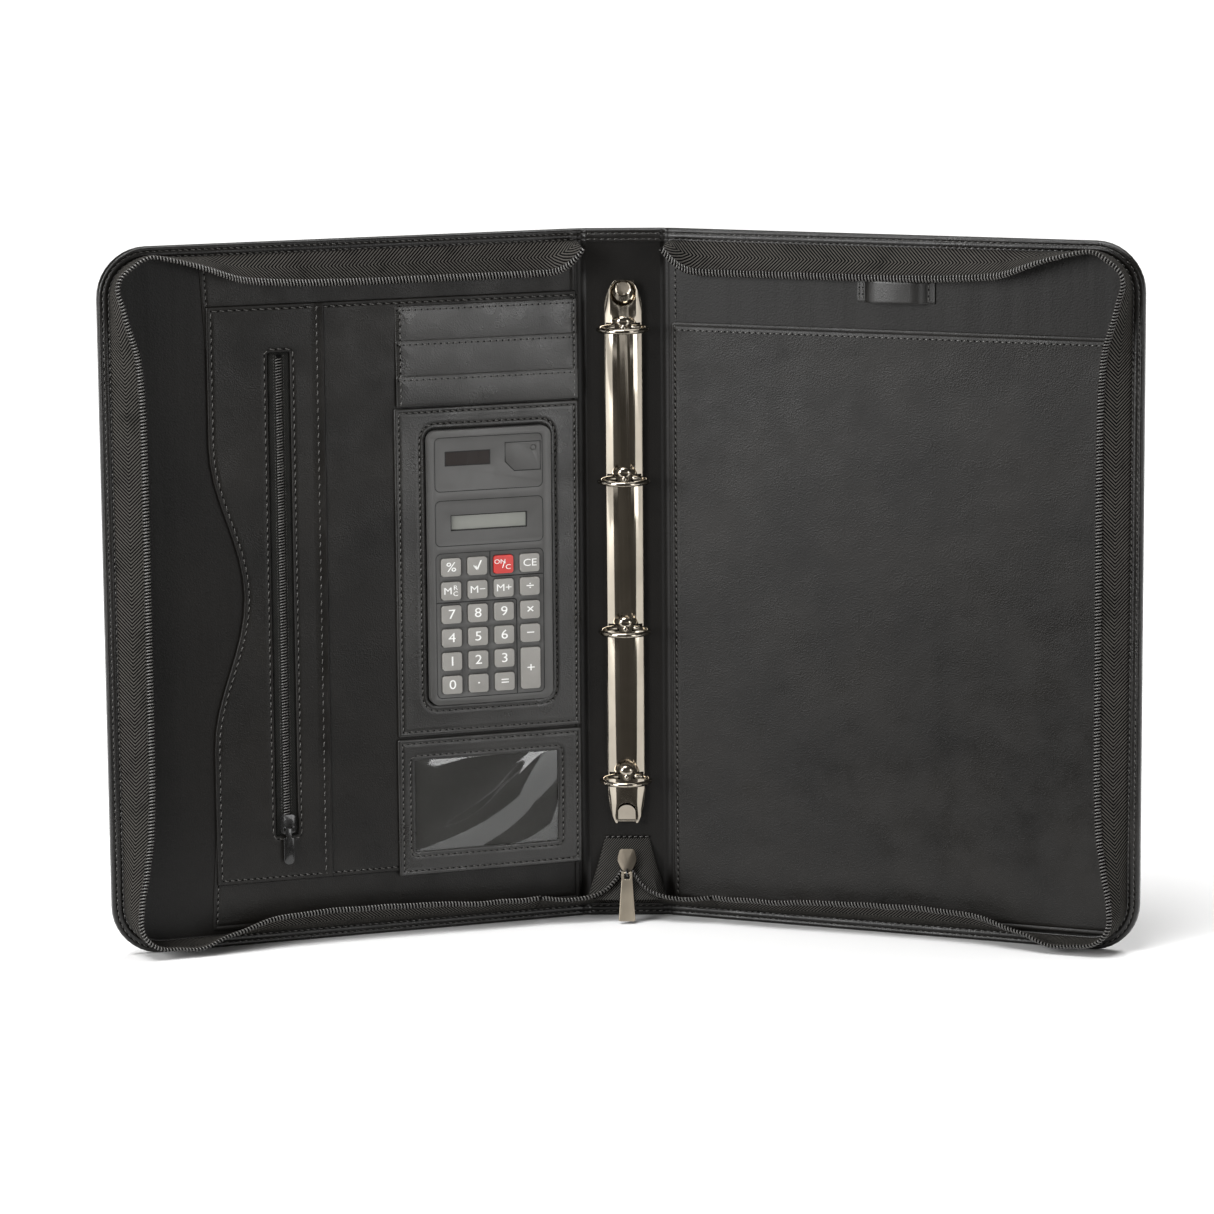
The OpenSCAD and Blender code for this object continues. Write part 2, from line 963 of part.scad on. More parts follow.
key(3, 5);  // key_percent
key(2, 5);  // key_root
key(1, 5, tint = "#9c3b2e");  // key_on_clear
key(0, 5);  // key_clear_entry
key(3, 4);  // key_memory_recall
key(2, 4);  // key_memory_minus
key(1, 4);  // key_memory_plus
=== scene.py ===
"""The looks of a zip-round portfolio case with a ring binder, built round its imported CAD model.

Places on the case are given on its three panels, in millimetres: u runs outward from a cover's hinge
line (along X on the spine), z runs up, and d comes out of the lining towards the inside of the case.
"""

import json
import math

import bmesh
import bpy
import numpy as np
from mathutils import Matrix, Vector

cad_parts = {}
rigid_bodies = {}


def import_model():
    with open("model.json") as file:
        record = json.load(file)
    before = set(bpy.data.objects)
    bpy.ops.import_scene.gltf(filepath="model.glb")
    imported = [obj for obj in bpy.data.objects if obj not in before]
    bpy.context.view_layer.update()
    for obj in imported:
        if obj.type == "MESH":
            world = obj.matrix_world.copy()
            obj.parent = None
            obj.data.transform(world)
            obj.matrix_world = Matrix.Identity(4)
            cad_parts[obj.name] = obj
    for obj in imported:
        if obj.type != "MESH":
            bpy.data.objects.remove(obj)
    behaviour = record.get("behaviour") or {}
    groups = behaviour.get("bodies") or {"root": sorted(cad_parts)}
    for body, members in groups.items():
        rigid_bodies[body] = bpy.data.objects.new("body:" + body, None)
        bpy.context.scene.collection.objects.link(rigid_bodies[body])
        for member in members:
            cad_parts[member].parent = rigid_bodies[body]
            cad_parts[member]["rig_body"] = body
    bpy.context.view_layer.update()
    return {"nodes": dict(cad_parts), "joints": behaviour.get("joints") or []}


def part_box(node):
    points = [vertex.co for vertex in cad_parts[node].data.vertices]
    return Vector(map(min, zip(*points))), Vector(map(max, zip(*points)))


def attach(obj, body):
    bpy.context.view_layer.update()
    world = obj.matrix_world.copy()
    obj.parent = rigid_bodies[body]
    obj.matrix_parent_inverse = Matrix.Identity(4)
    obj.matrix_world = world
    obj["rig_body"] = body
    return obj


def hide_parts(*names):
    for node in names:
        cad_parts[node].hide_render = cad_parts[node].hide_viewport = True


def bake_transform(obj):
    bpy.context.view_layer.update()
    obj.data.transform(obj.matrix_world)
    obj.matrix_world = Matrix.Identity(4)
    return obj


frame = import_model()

MM = 0.001
JOINTS = {j["name"]: j for j in frame["joints"]}
HINGE = JOINTS["right_cover_hinge"]
HINGE_X, HINGE_Y = HINGE["pos_m"][0] / MM, HINGE["pos_m"][1] / MM
REST = math.radians(HINGE["range_deg"][1])
FACE_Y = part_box("spine_lining")[0].y / MM
BACK_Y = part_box("spine_skin")[1].y / MM
CASE_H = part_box("spine_skin")[1].z / MM
SPINE_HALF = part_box("spine_skin")[1].x / MM
BACK_D = FACE_Y - BACK_Y
CORNER_R = 26
BORDER_W = 7
GAP_U = 2
BODY = {"left": "left_cover", "right": "right_cover", "spine": "spine"}


# ---- places ----


def place(side, u, z, d, turn=REST):
    """The point in the row frame, in metres, of a spot on a panel."""
    if side == "spine":
        return Vector((u, FACE_Y - d, z)) * MM
    back = FACE_Y - d - HINGE_Y
    x = HINGE_X + u * math.cos(turn) + back * math.sin(turn)
    y = HINGE_Y - u * math.sin(turn) + back * math.cos(turn)
    return Vector((x if side == "right" else -x, y, z)) * MM


def span(node, side):
    """The lowest and highest u, z and d of a CAD node on a cover, in millimetres."""
    spots = []
    for v in frame["nodes"][node].data.vertices:
        x, y, z = (c / MM for c in v.co)
        x = (x if side == "right" else -x) - HINGE_X
        y -= HINGE_Y
        back = x * math.sin(REST) + y * math.cos(REST)
        spots.append((x * math.cos(REST) - y * math.sin(REST), z, FACE_Y - HINGE_Y - back))
    spots = np.array(spots)
    return spots.min(0), spots.max(0)


COVER_W = span("right_cover_skin", "right")[1][0]


# ---- materials ----


class Look:
    """A procedural material and the record's slot that it belongs to."""

    def __init__(self, name, slot, colour, rough, **constants):
        self.slot = slot
        self.material = bpy.data.materials.new(name)
        self.material.use_nodes = True
        self.tree = self.material.node_tree
        self.shader = self.tree.nodes["Principled BSDF"]
        self.shader.inputs["Base Color"].default_value = (*colour, 1)
        self.shader.inputs["Roughness"].default_value = rough
        for socket, value in constants.items():
            self.shader.inputs[socket.replace("_", " ")].default_value = value
        self.colour = colour
        self.rough = rough
        self.height = None

    def add(self, kind, inputs=(), **settings):
        node = self.tree.nodes.new(kind)
        for key, value in settings.items():
            setattr(node, key, value)
        for socket, value in dict(inputs).items():
            if isinstance(value, bpy.types.NodeSocket):
                self.tree.links.new(value, node.inputs[socket])
            else:
                node.inputs[socket].default_value = value
        return node

    def link(self, socket, name):
        self.tree.links.new(socket, self.shader.inputs[name])

    def math(self, operation, *values):
        return self.add("ShaderNodeMath", dict(enumerate(values)), operation=operation).outputs[0]

    def coords(self, stretch=(1, 1, 1)):
        source = self.add("ShaderNodeTexCoord").outputs["Object"]
        return self.add("ShaderNodeMapping", {"Vector": source, "Scale": stretch}).outputs[0]

    def noise(self, size, detail=3, stretch=(1, 1, 1)):
        """Noise whose features are about size millimetres across."""
        inputs = {"Vector": self.coords(stretch), "Scale": 1 / (size * MM), "Detail": detail}
        return self.add("ShaderNodeTexNoise", inputs).outputs["Fac"]

    def cells(self, size):
        inputs = {"Vector": self.coords(), "Scale": 1 / (size * MM), "Smoothness": 0.6}
        return self.add("ShaderNodeTexVoronoi", inputs, feature="SMOOTH_F1").outputs["Distance"]

    def between(self, fac, low, high, start=0.3, end=0.7):
        inputs = {"Value": fac, "From Min": start, "From Max": end, "To Min": low, "To Max": high}
        return self.add("ShaderNodeMapRange", inputs).outputs[0]

    def vary(self, fac, low, high):
        """Base colour from low to high times the plain one."""
        inputs = {0: self.between(fac, 0, 1), 6: (*[c * low for c in self.colour], 1),
                  7: (*[c * high for c in self.colour], 1)}
        self.link(self.add("ShaderNodeMix", inputs, data_type="RGBA").outputs[2], "Base Color")

    def vary_rough(self, fac, low, high):
        self.link(self.between(fac, low, high), "Roughness")

    def bump(self, fac, depth, strength=1.0):
        """Relief of depth millimetres, on top of the relief already there."""
        inputs = {"Height": fac, "Distance": depth * MM, "Strength": strength}
        if self.height:
            inputs["Normal"] = self.height
        self.height = self.add("ShaderNodeBump", inputs).outputs[0]
        self.link(self.height, "Normal")


def leather(name, slot, colour, rough, grain, depth, **constants):
    look = Look(name, slot, colour, rough, **constants)
    look.vary(look.noise(38, 4), 0.6, 1.5)
    look.vary_rough(look.noise(16, 5), rough - 0.07, rough + 0.09)
    look.bump(look.noise(30, 2), 0.9, 0.45)
    look.bump(look.cells(grain), depth)
    look.bump(look.noise(grain * 0.45, 2), depth * 0.5)
    return look


def cloth_lining(name, slot, colour, rough):
    """Smooth grained lining with faint upright folds."""
    look = Look(name, slot, colour, rough, Specular_IOR_Level=0.28)
    look.vary(look.noise(45, 3), 0.7, 1.3)
    look.bump(look.noise(14, 2, (1, 1, 0.12)), 0.5, 0.6)
    look.bump(look.cells(0.9), 0.05)
    return look


def woven_tape(name, slot, colour, pitch, middle):
    """Herringbone twill that follows the tape's own UVs: run in u and breadth in v, in millimetres. Its ribs
    are lightened and the grooves between them darkened in the base colour: painted highlight and painted
    shade of the weave.
    """
    look = Look(name, slot, colour, 0.7, Specular_IOR_Level=0.08)
    uv = look.add("ShaderNodeSeparateXYZ", {0: look.add("ShaderNodeUVMap").outputs[0]})
    slope = look.math("ABSOLUTE", look.math("SUBTRACT", uv.outputs[1], middle))
    phase = look.math("MULTIPLY", look.math("ADD", uv.outputs[0], slope), 2 * math.pi / pitch)
    rib = look.math("SINE", phase)
    rib_relief_and_shade = look.between(rib, 0, 1, -0.5, 0.5)
    # painted shade in the grooves and painted highlight on the ribs, from near black to 4.6 times the tape's
    # colour
    look.vary(look.math("MULTIPLY", rib_relief_and_shade, look.between(look.noise(12), 0.6, 1)), 0.02, 4.6)
    look.bump(rib_relief_and_shade, 0.2)
    look.bump(look.noise(0.35, 1), 0.08)
    return look


def metal(name, slot, colour, rough):
    look = Look(name, slot, colour, rough, Metallic=1.0)
    look.vary(look.noise(14, 4), 0.88, 1.08)
    look.vary_rough(look.noise(9, 4), rough * 0.85, rough * 1.25)
    return look


def plastic(name, slot, colour, rough, texture=0.03, **constants):
    look = Look(name, slot, colour, rough, **constants)
    look.vary(look.noise(12, 4), 0.93, 1.07)
    look.vary_rough(look.noise(6, 4), rough - 0.05, rough + 0.06)
    if texture:
        look.bump(look.noise(0.3, 2), texture)
    return look


def make_looks():
    looks = {
        "leather": leather("grained_leatherette", "leatherette", (0.0048, 0.0042, 0.0036), 0.34,
                           0.8, 0.09, Specular_IOR_Level=0.42),
        "lining": cloth_lining("smooth_lining", "lining", (0.004, 0.0034, 0.0028), 0.46),
        "pocket": leather("pocket_leatherette", "pocket_leatherette", (0.0055, 0.0048, 0.004), 0.4,
                          0.7, 0.08, Specular_IOR_Level=0.32),
        # the pocket leatherette at twice its colour for the card slots, calculator frame and window frame:
        # painted sheen, along with real extra gloss
        "strip": leather("strip_leatherette_painted_sheen", "pocket_leatherette", (0.011, 0.0104, 0.0094), 0.31,
                         0.7, 0.06, Specular_IOR_Level=0.6),
        # the lining behind the clear window, far lighter than the lining itself: painted haze of light in
        # the film
        "card": plastic("window_backing_painted_haze", "lining", (0.052, 0.05, 0.046), 0.6),
        # a near black copy of the calculator grey for thin tubes in the case's grooves, gaps and recess
        # edges: painted shade
        "groove": plastic("groove_painted_shade", "calculator_case", (0.006, 0.006, 0.006), 0.7),
        "elastic": leather("loop_leatherette", "elastic", (0.009, 0.0085, 0.0077), 0.4, 0.6, 0.06),
        "tape": woven_tape("herringbone_tape", "zip_tape", (0.0125, 0.0117, 0.0105), 1.9, 8.0),
        "gusset": woven_tape("plain_tape", "zip_tape", (0.012, 0.0115, 0.0105), 1.3, 500.0),
        # the black nylon coil lightened well above the black tape: painted highlight on its teeth
        "coil": plastic("black_nylon_coil_painted_highlight", "black_zip", (0.055, 0.052, 0.048), 0.25, 0.0,
                        Specular_IOR_Level=0.9),
        # near black cord through the coil: painted shade between its turns
        "core": plastic("cord_painted_shade", "black_zip", (0.001, 0.001, 0.001), 0.9, 0.05,
                        Specular_IOR_Level=0.1),
        "black_zip": woven_tape("narrow_tape", "black_zip", (0.007, 0.007, 0.0065), 0.9, 500.0),
        "black_metal": plastic("black_enamel", "black_metal", (0.006, 0.006, 0.006), 0.2, 0.0,
                               Coat_Weight=0.5),
        "nickel": metal("antique_nickel", "nickel", (0.36, 0.315, 0.25), 0.42),
        "slider": metal("dull_nickel", "nickel", (0.115, 0.1, 0.08), 0.45),
        "plate": metal("bright_nickel", "nickel_plate", (0.4, 0.36, 0.3), 0.08),
        "board": plastic("grey_board", "board", (0.25, 0.22, 0.18), 0.85, 0.1),
        "case": plastic("calculator_grey", "calculator_case", (0.058, 0.057, 0.055), 0.36),
        "circuit": plastic("circuit_green", "circuit_board", (0.03, 0.15, 0.05), 0.5),
        "rubber": plastic("keypad_rubber", "keypad_rubber", (0.08, 0.08, 0.08), 0.7),
        "key": plastic("key_grey", "key", (0.23, 0.222, 0.206), 0.4),
        "key_red": plastic("key_red", "key_red", (0.5, 0.035, 0.03), 0.38),
        "ink": plastic("legend_white", "key", (0.75, 0.75, 0.73), 0.5),
        "lcd": plastic("lcd_grey", "lcd", (0.19, 0.195, 0.175), 0.4, 0.0),
        "solar": plastic("solar_brown", "solar_cell", (0.009, 0.0045, 0.003), 0.35, 0.0,
                         Specular_IOR_Level=0.3),
        # black thread ten times lighter than the leatherette: painted highlight on the stitches
        "thread": plastic("black_thread_painted_highlight", "leatherette", (0.05, 0.048, 0.044), 0.25, 0.0,
                          Specular_IOR_Level=0.8),
        # flat black discs at the stitch ends: painted shade in the needle holes
        "hole": plastic("needle_hole_painted_shade", "leatherette", (0.001, 0.001, 0.001), 0.95, 0.0,
                        Specular_IOR_Level=0.1),
        "film": Look("clear_film", "clear_film", (0.96, 0.97, 0.97), 0.02, Transmission_Weight=1.0,
                     IOR=1.5),
    }
    wear = looks["film"]
    wear.vary_rough(wear.noise(20, 3), 0.01, 0.05)
    return looks


LOOKS = make_looks()


# ---- mesh building ----


def loft(rows, ring=False):
    """Vertices and faces of a skin over rows of equally many points."""
    n = len(rows[0])
    verts = [p for row in rows for p in row]
    faces = []
    for r in range(len(rows) - 1):
        for i in range(n if ring else n - 1):
            j = (i + 1) % n
            faces.append((r * n + i, r * n + j, (r + 1) * n + j, (r + 1) * n + i))
    return verts, faces


def solid(rows):
    """Vertices and faces of a closed body over rows of rings."""
    verts, faces = loft(rows, ring=True)
    n = len(rows[0])
    return verts, [*faces, tuple(range(n)), tuple(range(len(verts) - n, len(verts)))]


def piece(name, side, verts, faces, look, body=None, uvs=None, sharp=40, replaces=()):
    """A mesh object from spots on a panel, or from row frame points where side is None."""
    mesh = bpy.data.meshes.new(name)
    mesh.from_pydata([place(side, *v) for v in verts] if side else verts, [], faces)
    if uvs:
        layer = mesh.uv_layers.new(name="UVMap")
        for loop in mesh.loops:
            layer.data[loop.index].uv = uvs[loop.vertex_index]
    return dress(name, mesh, look, body or BODY.get(side), sharp, replaces)


def dress(name, mesh, look, body, sharp=40, replaces=()):
    """Gives a mesh its finish and its body. A body of None leaves it unattached."""
    bm = bmesh.new()
    bm.from_mesh(mesh)
    bmesh.ops.recalc_face_normals(bm, faces=bm.faces)
    bm.to_mesh(mesh)
    bm.free()
    mesh.polygons.foreach_set("use_smooth", [True] * len(mesh.polygons))
    mesh.set_sharp_from_angle(angle=math.radians(sharp))
    mesh.materials.append(LOOKS[look].material)
    obj = bpy.data.objects.new(name, mesh)
    bpy.context.scene.collection.objects.link(obj)
    if body:
        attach(obj, body)
    if replaces:
        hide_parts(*replaces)
    return obj


BEVEL_ANGLE = math.radians(30)


def bevelled(node, look, width, segments=2):
    """A copy of a CAD node with its edges broken, which stands for it."""
    bm = bmesh.new()
    bm.from_mesh(frame["nodes"][node].data)
    bmesh.ops.remove_doubles(bm, verts=bm.verts, dist=2e-6)
    bmesh.ops.dissolve_limit(bm, angle_limit=math.radians(1), verts=bm.verts, edges=bm.edges)
    corners = [e for e in bm.edges if e.is_manifold and e.calc_face_angle(0) > BEVEL_ANGLE]
    bmesh.ops.bevel(bm, geom=corners, offset=width * MM, segments=segments, profile=0.6,
                    affect="EDGES", clamp_overlap=True)
    mesh = bpy.data.meshes.new(node + "_shape")
    bm.to_mesh(mesh)
    bm.free()
    dress(node + "_shape", mesh, look, frame["nodes"][node]["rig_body"], replaces=[node])


def tube(points, radius, sides=8):
    """A round tube along points in the row frame."""
    rows = []
    for i, p in enumerate(points):
        along = (points[min(i + 1, len(points) - 1)] - points[max(i - 1, 0)]).normalized()
        across = along.cross(Vector((0, 0, 1)) if abs(along.z) < 0.9 else Vector((1, 0, 0)))
        across.normalize()
        up = along.cross(across)
        rows.append([p + radius * (math.cos(a) * across + math.sin(a) * up)
                     for a in (2 * math.pi * k / sides for k in range(sides))])
    return solid(rows)


CORNER_STEPS, SIDE_STEPS = 4, 30


def rect_path(box, inset=0.0, r=1.0, warp=None):
    """A rectangle's outline with rounded corners, always with the same number of points."""
    u0, u1, z0, z1 = box[0] + inset, box[1] - inset, box[2] + inset, box[3] - inset
    r = max(r - inset, 0.05)
    centres = [(u1 - r, z0 + r, -90), (u1 - r, z1 - r, 0), (u0 + r, z1 - r, 90), (u0 + r, z0 + r, 180)]
    path = []
    for k, (cu, cz, start) in enumerate(centres):
        for i in range(CORNER_STEPS + 1):
            a = math.radians(start + 90 * i / CORNER_STEPS)
            path.append((cu + r * math.cos(a), cz + r * math.sin(a)))
        nu, nz, start = centres[(k + 1) % 4]
        end = (nu + r * math.cos(math.radians(start)), nz + r * math.sin(math.radians(start)))
        begin = path[-1]
        for i in range(1, SIDE_STEPS):
            t = i / SIDE_STEPS
            path.append((begin[0] + t * (end[0] - begin[0]), begin[1] + t * (end[1] - begin[1])))
    return [warp(u, z, inset) for u, z in path] if warp else path


SEAM_INSET = 2.4


def edge_steps(t, seam):
    """Inset and height of a sheet's folded edge, with a groove pulled in by the seam."""
    steps = [(0, 0), (0, t * 0.55), (0.12, t * 0.85), (0.4, t)]
    if seam:
        steps += [(seam - 0.9, t + 0.08), (seam - 0.35, t - 0.12), (seam, t - 0.25)]
        steps += [(seam + 0.35, t - 0.12), (seam + 0.9, t + 0.05), (seam + 2.2, t)]
    return steps


def panel(name, side, box, d, look, seam=SEAM_INSET, r=1.0, puff=0.0, warp=None, replaces=()):
    """A sheet with folded edges, from depth d[0] to d[1]; puff lifts its middle."""
    t = d[1] - d[0]
    steps = edge_steps(t, seam)
    inner = steps[-1][0]
    middle = 0.5 * min(box[1] - box[0], box[3] - box[2]) - 1
    for k in range(1, 5):
        steps.append((inner + (middle - inner) * k / 4, t + puff * math.sin(math.pi / 8 * k)))
    rows = []
    for inset, h in steps:
        rows.append([(u, z, d[0] + h) for u, z in rect_path(box, inset, r, warp=warp)])
    return piece(name, side, *solid(rows), look, replaces=replaces)


def frame_panel(name, side, box, hole, d, look, hole_seam, hole_r=1.0, warp=None, replaces=()):
    """A sheet with an opening; both edges are folded and grooved."""
    t = d[1] - d[0]
    rows = []
    for inset, h in edge_steps(t, SEAM_INSET):
        rows.append([(u, z, d[0] + h) for u, z in rect_path(box, inset, warp=warp)])
    for inset, h in reversed(edge_steps(t, hole_seam)):
        rows.append([(u, z, d[0] + h) for u, z in rect_path(hole, -inset, hole_r)])
    verts, faces = loft(rows, ring=True)
    n = len(rows[0])
    last = (len(rows) - 1) * n
    faces += [(i, (i + 1) % n, last + (i + 1) % n, last + i) for i in range(n)]
    return piece(name, side, verts, faces, look, replaces=replaces)


# ---- stitching ----


# a stitch's half length and the gap to its needle hole as parts of the pitch; lean and radius in mm
STITCH_HALF, HOLE_GAP = 0.31, 0.19
STITCH_LEAN, HOLE_R = 0.26, 0.5


class Seams:
    """The stitches of one panel, kept together as one piece."""

    def __init__(self, side):
        self.side = side
        self.verts, self.faces, self.kinds = [], [], []

    def add(self, verts, faces, kind):
        start = len(self.verts)
        self.verts += verts
        self.faces += [tuple(start + i for i in f) for f in faces]
        self.kinds += [kind] * len(faces)

    def row(self, path, d, pitch=3.4, out=1, closed=False, thick=0.3):
        """Stitches along a path of (u, z) points on a surface at depth d, which faces out."""
        path = np.array([*path, path[0]] if closed else path, float)
        runs = np.r_[0, np.cumsum(np.hypot(*np.diff(path, axis=0).T))]
        count = max(1, round(runs[-1] / pitch))
        for k in range(count):
            middle = runs[-1] * (k + 0.5) / count
            half = STITCH_HALF * runs[-1] / count
            ends = [np.array([np.interp(middle + s * half, runs, path[:, a]) for a in (0, 1)])
                    for s in (-1, 1)]
            along = (ends[1] - ends[0]) / max(np.hypot(*(ends[1] - ends[0])), 1e-6)
            across = np.array([-along[1], along[0]])
            rows = []
            for s in (-1, -0.75, -0.3, 0.3, 0.75, 1):
                centre = (ends[0] + ends[1]) / 2 + along * s * half + across * s * STITCH_LEAN
                lift = thick * (0.55 - 1.3 * max(0, abs(s) - 0.55))
                fat = thick * (1 if abs(s) < 1 else 0.35)
                ring = []
                for a in range(6):
                    turn = math.pi / 3 * a
                    spot = centre + across * fat * math.cos(turn)
                    ring.append((*spot, d + out * (lift + fat * math.sin(turn))))
                rows.append(ring)
            self.add(*solid(rows), "thread")
            hole = ends[1] + along * HOLE_GAP * runs[-1] / count
            # a flat black disc at the needle hole: painted shade
            disc = [(hole[0] + HOLE_R * math.cos(a), hole[1] + HOLE_R * math.sin(a), d + out * 0.07)
                    for a in (math.pi / 3 * j for j in range(6))]
            self.add(disc, [tuple(range(6))], "hole")

    def finish(self, name):
        obj = piece(name, self.side, self.verts, self.faces, "thread", sharp=60)
        obj.data.materials.append(LOOKS["hole"].material)
        obj.data.polygons.foreach_set("material_index", [int(k == "hole") for k in self.kinds])


SEAMS = {side: Seams(side) for side in BODY}


# ---- the covers ----


def rim(step=8.0, start=GAP_U, end=GAP_U):
    """Stations round a cover's free sides, from the hinge at the top to the hinge at the foot:
    a point on the edge, its outward direction and the run up to it."""
    r = CORNER_R
    far, top = COVER_W - r, CASE_H - r
    spots = []
    n = max(2, round((far - start) / step))
    spots += [(start + (far - start) * i / n, CASE_H, 0, 1) for i in range(n)]
    arcs = max(6, round(math.pi / 2 * r / min(step, 4)))
    angles = [math.pi / 2 * (1 - i / arcs) for i in range(arcs)]
    spots += [(far + r * math.cos(a), top + r * math.sin(a), math.cos(a), math.sin(a)) for a in angles]
    n = max(2, round((top - r) / step))
    spots += [(COVER_W, top - (top - r) * i / n, 1, 0) for i in range(n)]
    spots += [(far + r * math.sin(a), r - r * math.cos(a), math.sin(a), -math.cos(a)) for a in angles]
    n = max(2, round((far - end) / step))
    spots += [(far - (far - end) * i / n, 0, 0, -1) for i in range(n + 1)]
    run = [0.0]
    for a, b in zip(spots, spots[1:]):
        run.append(run[-1] + math.hypot(b[0] - a[0], b[1] - a[1]))
    return [(*spot, s) for spot, s in zip(spots, run)]


def inset_path(e, step=8.0, start=GAP_U, end=GAP_U):
    return [(bu - e * nu, bz - e * nz) for bu, bz, nu, nz, _ in rim(step, start, end)]


STITCH_ROWS = (2.5, 5.5)
BACK_ROW = 4.0
# the skin's turned edge as (inset, depth): from the back, round the rim and onto the border band
EDGE = [(9, BACK_D), (BACK_ROW + 0.8, BACK_D), (BACK_ROW, BACK_D + 0.25), (BACK_ROW - 0.8, BACK_D),
        (1.7, BACK_D + 0.05), (0.8, BACK_D + 0.35), (0.22, BACK_D + 1), (0, BACK_D + 1.8),
        (0, -0.6), (0.16, 0.15), (0.6, 0.7), (1.2, 0.95), (1.9, 0.92), (2.5, 0.55), (3.1, 0.98),
        (4, 1.15), (4.9, 1), (5.5, 0.55), (6.0, 0.85), (6.5, 0.92), (6.9, 0.7), (BORDER_W, 0.03)]
LINER = [(1.4, 0.03), (1.4, BACK_D + 1.3), (9, BACK_D + 1.3)]


def cover_skin(side):
    rows = []
    for bu, bz, nu, nz, s in rim():
        swell = 0.06 * math.sin(s / 17.0) + 0.05 * math.sin(s / 7.3)
        rows.append([(bu - e * nu, bz - e * nz, d + (swell if d > 0.5 else 0)) for e, d in EDGE + LINER])
    verts, faces = loft(rows)
    n, m = len(rows[0]), len(rows)
    faces.append(tuple(r * n for r in range(m)))
    faces.append(tuple(r * n + n - 1 for r in range(m)))
    faces.append((*range(n), *range(m * n - 1, (m - 1) * n - 1, -1)))
    piece(side + "_cover_shell", side, verts, faces, "leather", replaces=[side + "_cover_skin"])
    for e in STITCH_ROWS:
        SEAMS[side].row(inset_path(e, 3, 3, 3), 0.55)
    SEAMS[side].row(inset_path(BACK_ROW, 3, 3, 3), BACK_D + 0.25, out=-1)


def spine_loop():
    """The section of the spine's skin as a closed loop of (z, depth)."""
    foot = EDGE[1:] + LINER[:2]
    head = [(CASE_H - e, d) for e, d in foot]
    return foot + head[::-1]


def spine_skin():
    steps = [SPINE_HALF * (-1 + i / 6) for i in range(13)]
    rows = [[(u, z, d) for z, d in spine_loop()] for u in steps]
    piece("spine_shell", "spine", *solid(rows), "leather", replaces=["spine_skin"])
    for e in STITCH_ROWS:
        for z in (e, CASE_H - e):
            SEAMS["spine"].row([(-SPINE_HALF, z), (SPINE_HALF, z)], 0.55)


def hinge_strip(side, loop, name, look):
    """Skin or lining that bends across a hinge, with a soft gutter behind its axis."""
    from_x, to_x = SPINE_HALF - 0.3, HINGE_X + GAP_U + 0.3
    steps = 12
    rows = []
    for i in range(steps + 1):
        t = i / steps
        weight = t * t * (3 - 2 * t)
        u = from_x + (to_x - from_x) * t - HINGE_X
        sink = 0.5 * math.sin(math.pi * t)
        rows.append([place(side, u, z, d - sink if d > -1 else d + sink, REST * weight)
                     for z, d in loop])
    obj = piece(name, None, *solid(rows), look)
    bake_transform(obj)


def hinges():
    lining = [(1.5, 0.02), (1.5, -0.9), (CASE_H - 1.5, -0.9), (CASE_H - 1.5, 0.02)]
    for side in ("left", "right"):
        hinge_strip(side, spine_loop(), side + "_hinge_skin", "leather")
        hinge_strip(side, lining, side + "_hinge_lining", "lining")


# ---- the main zip ----

TAPE_W = 16.5
TAPE_FOOT = (6.2, 0.8)
COIL_PITCH = 1.75
COVER_RUN_END = 30
# lean of the tape above the lining in degrees, by run round the cover from the top hinge
LEANS = [(0, 94), (4, 62), (8, 24), (18, 13), (115, 13), (150, 24), (180, 40), (200, 68), (213, 86),
         (226, 96), (262, 92), (273, 80), (284, 68), (296, 50), (318, 36), (346, 30), (520, 30),
         (553, 43), (571, 62), (588, 70), (598, 80), (628, 93), (642, 96), (653, 83), (671, 63),
         (685, 51), (712, 45), (756, 48), (798, 57), (840, 57)]


def lean_at(s):
    """The tape's lean at a run, smoothed over a few millimetres."""
    runs, leans = zip(*LEANS)
    return math.radians(sum(np.interp(s + k, runs, leans) for k in (-6, -3, 0, 3, 6)) / 5)


def tape_spot(station, t, lift=0.0):
    """A spot on the tape, t of the way from its seam to its coil and lift above it."""
    bu, bz, nu, nz, s = station
    lean = lean_at(s)
    bow = 1.3 * math.sin(math.pi * t) * math.sin(lean) + lift
    e = TAPE_FOOT[0] + TAPE_W * t * math.cos(lean) - bow * math.sin(lean)
    d = TAPE_FOOT[1] + TAPE_W * t * math.sin(lean) + bow * math.cos(lean)
    upright = max(0.0, math.sin(lean) - 0.6)
    ripple = upright * t * 1.1 * math.sin(s / 4.7 + 0.8 * math.sin(s / 13))
    return (bu - (e + ripple) * nu, bz - (e + ripple) * nz, d)


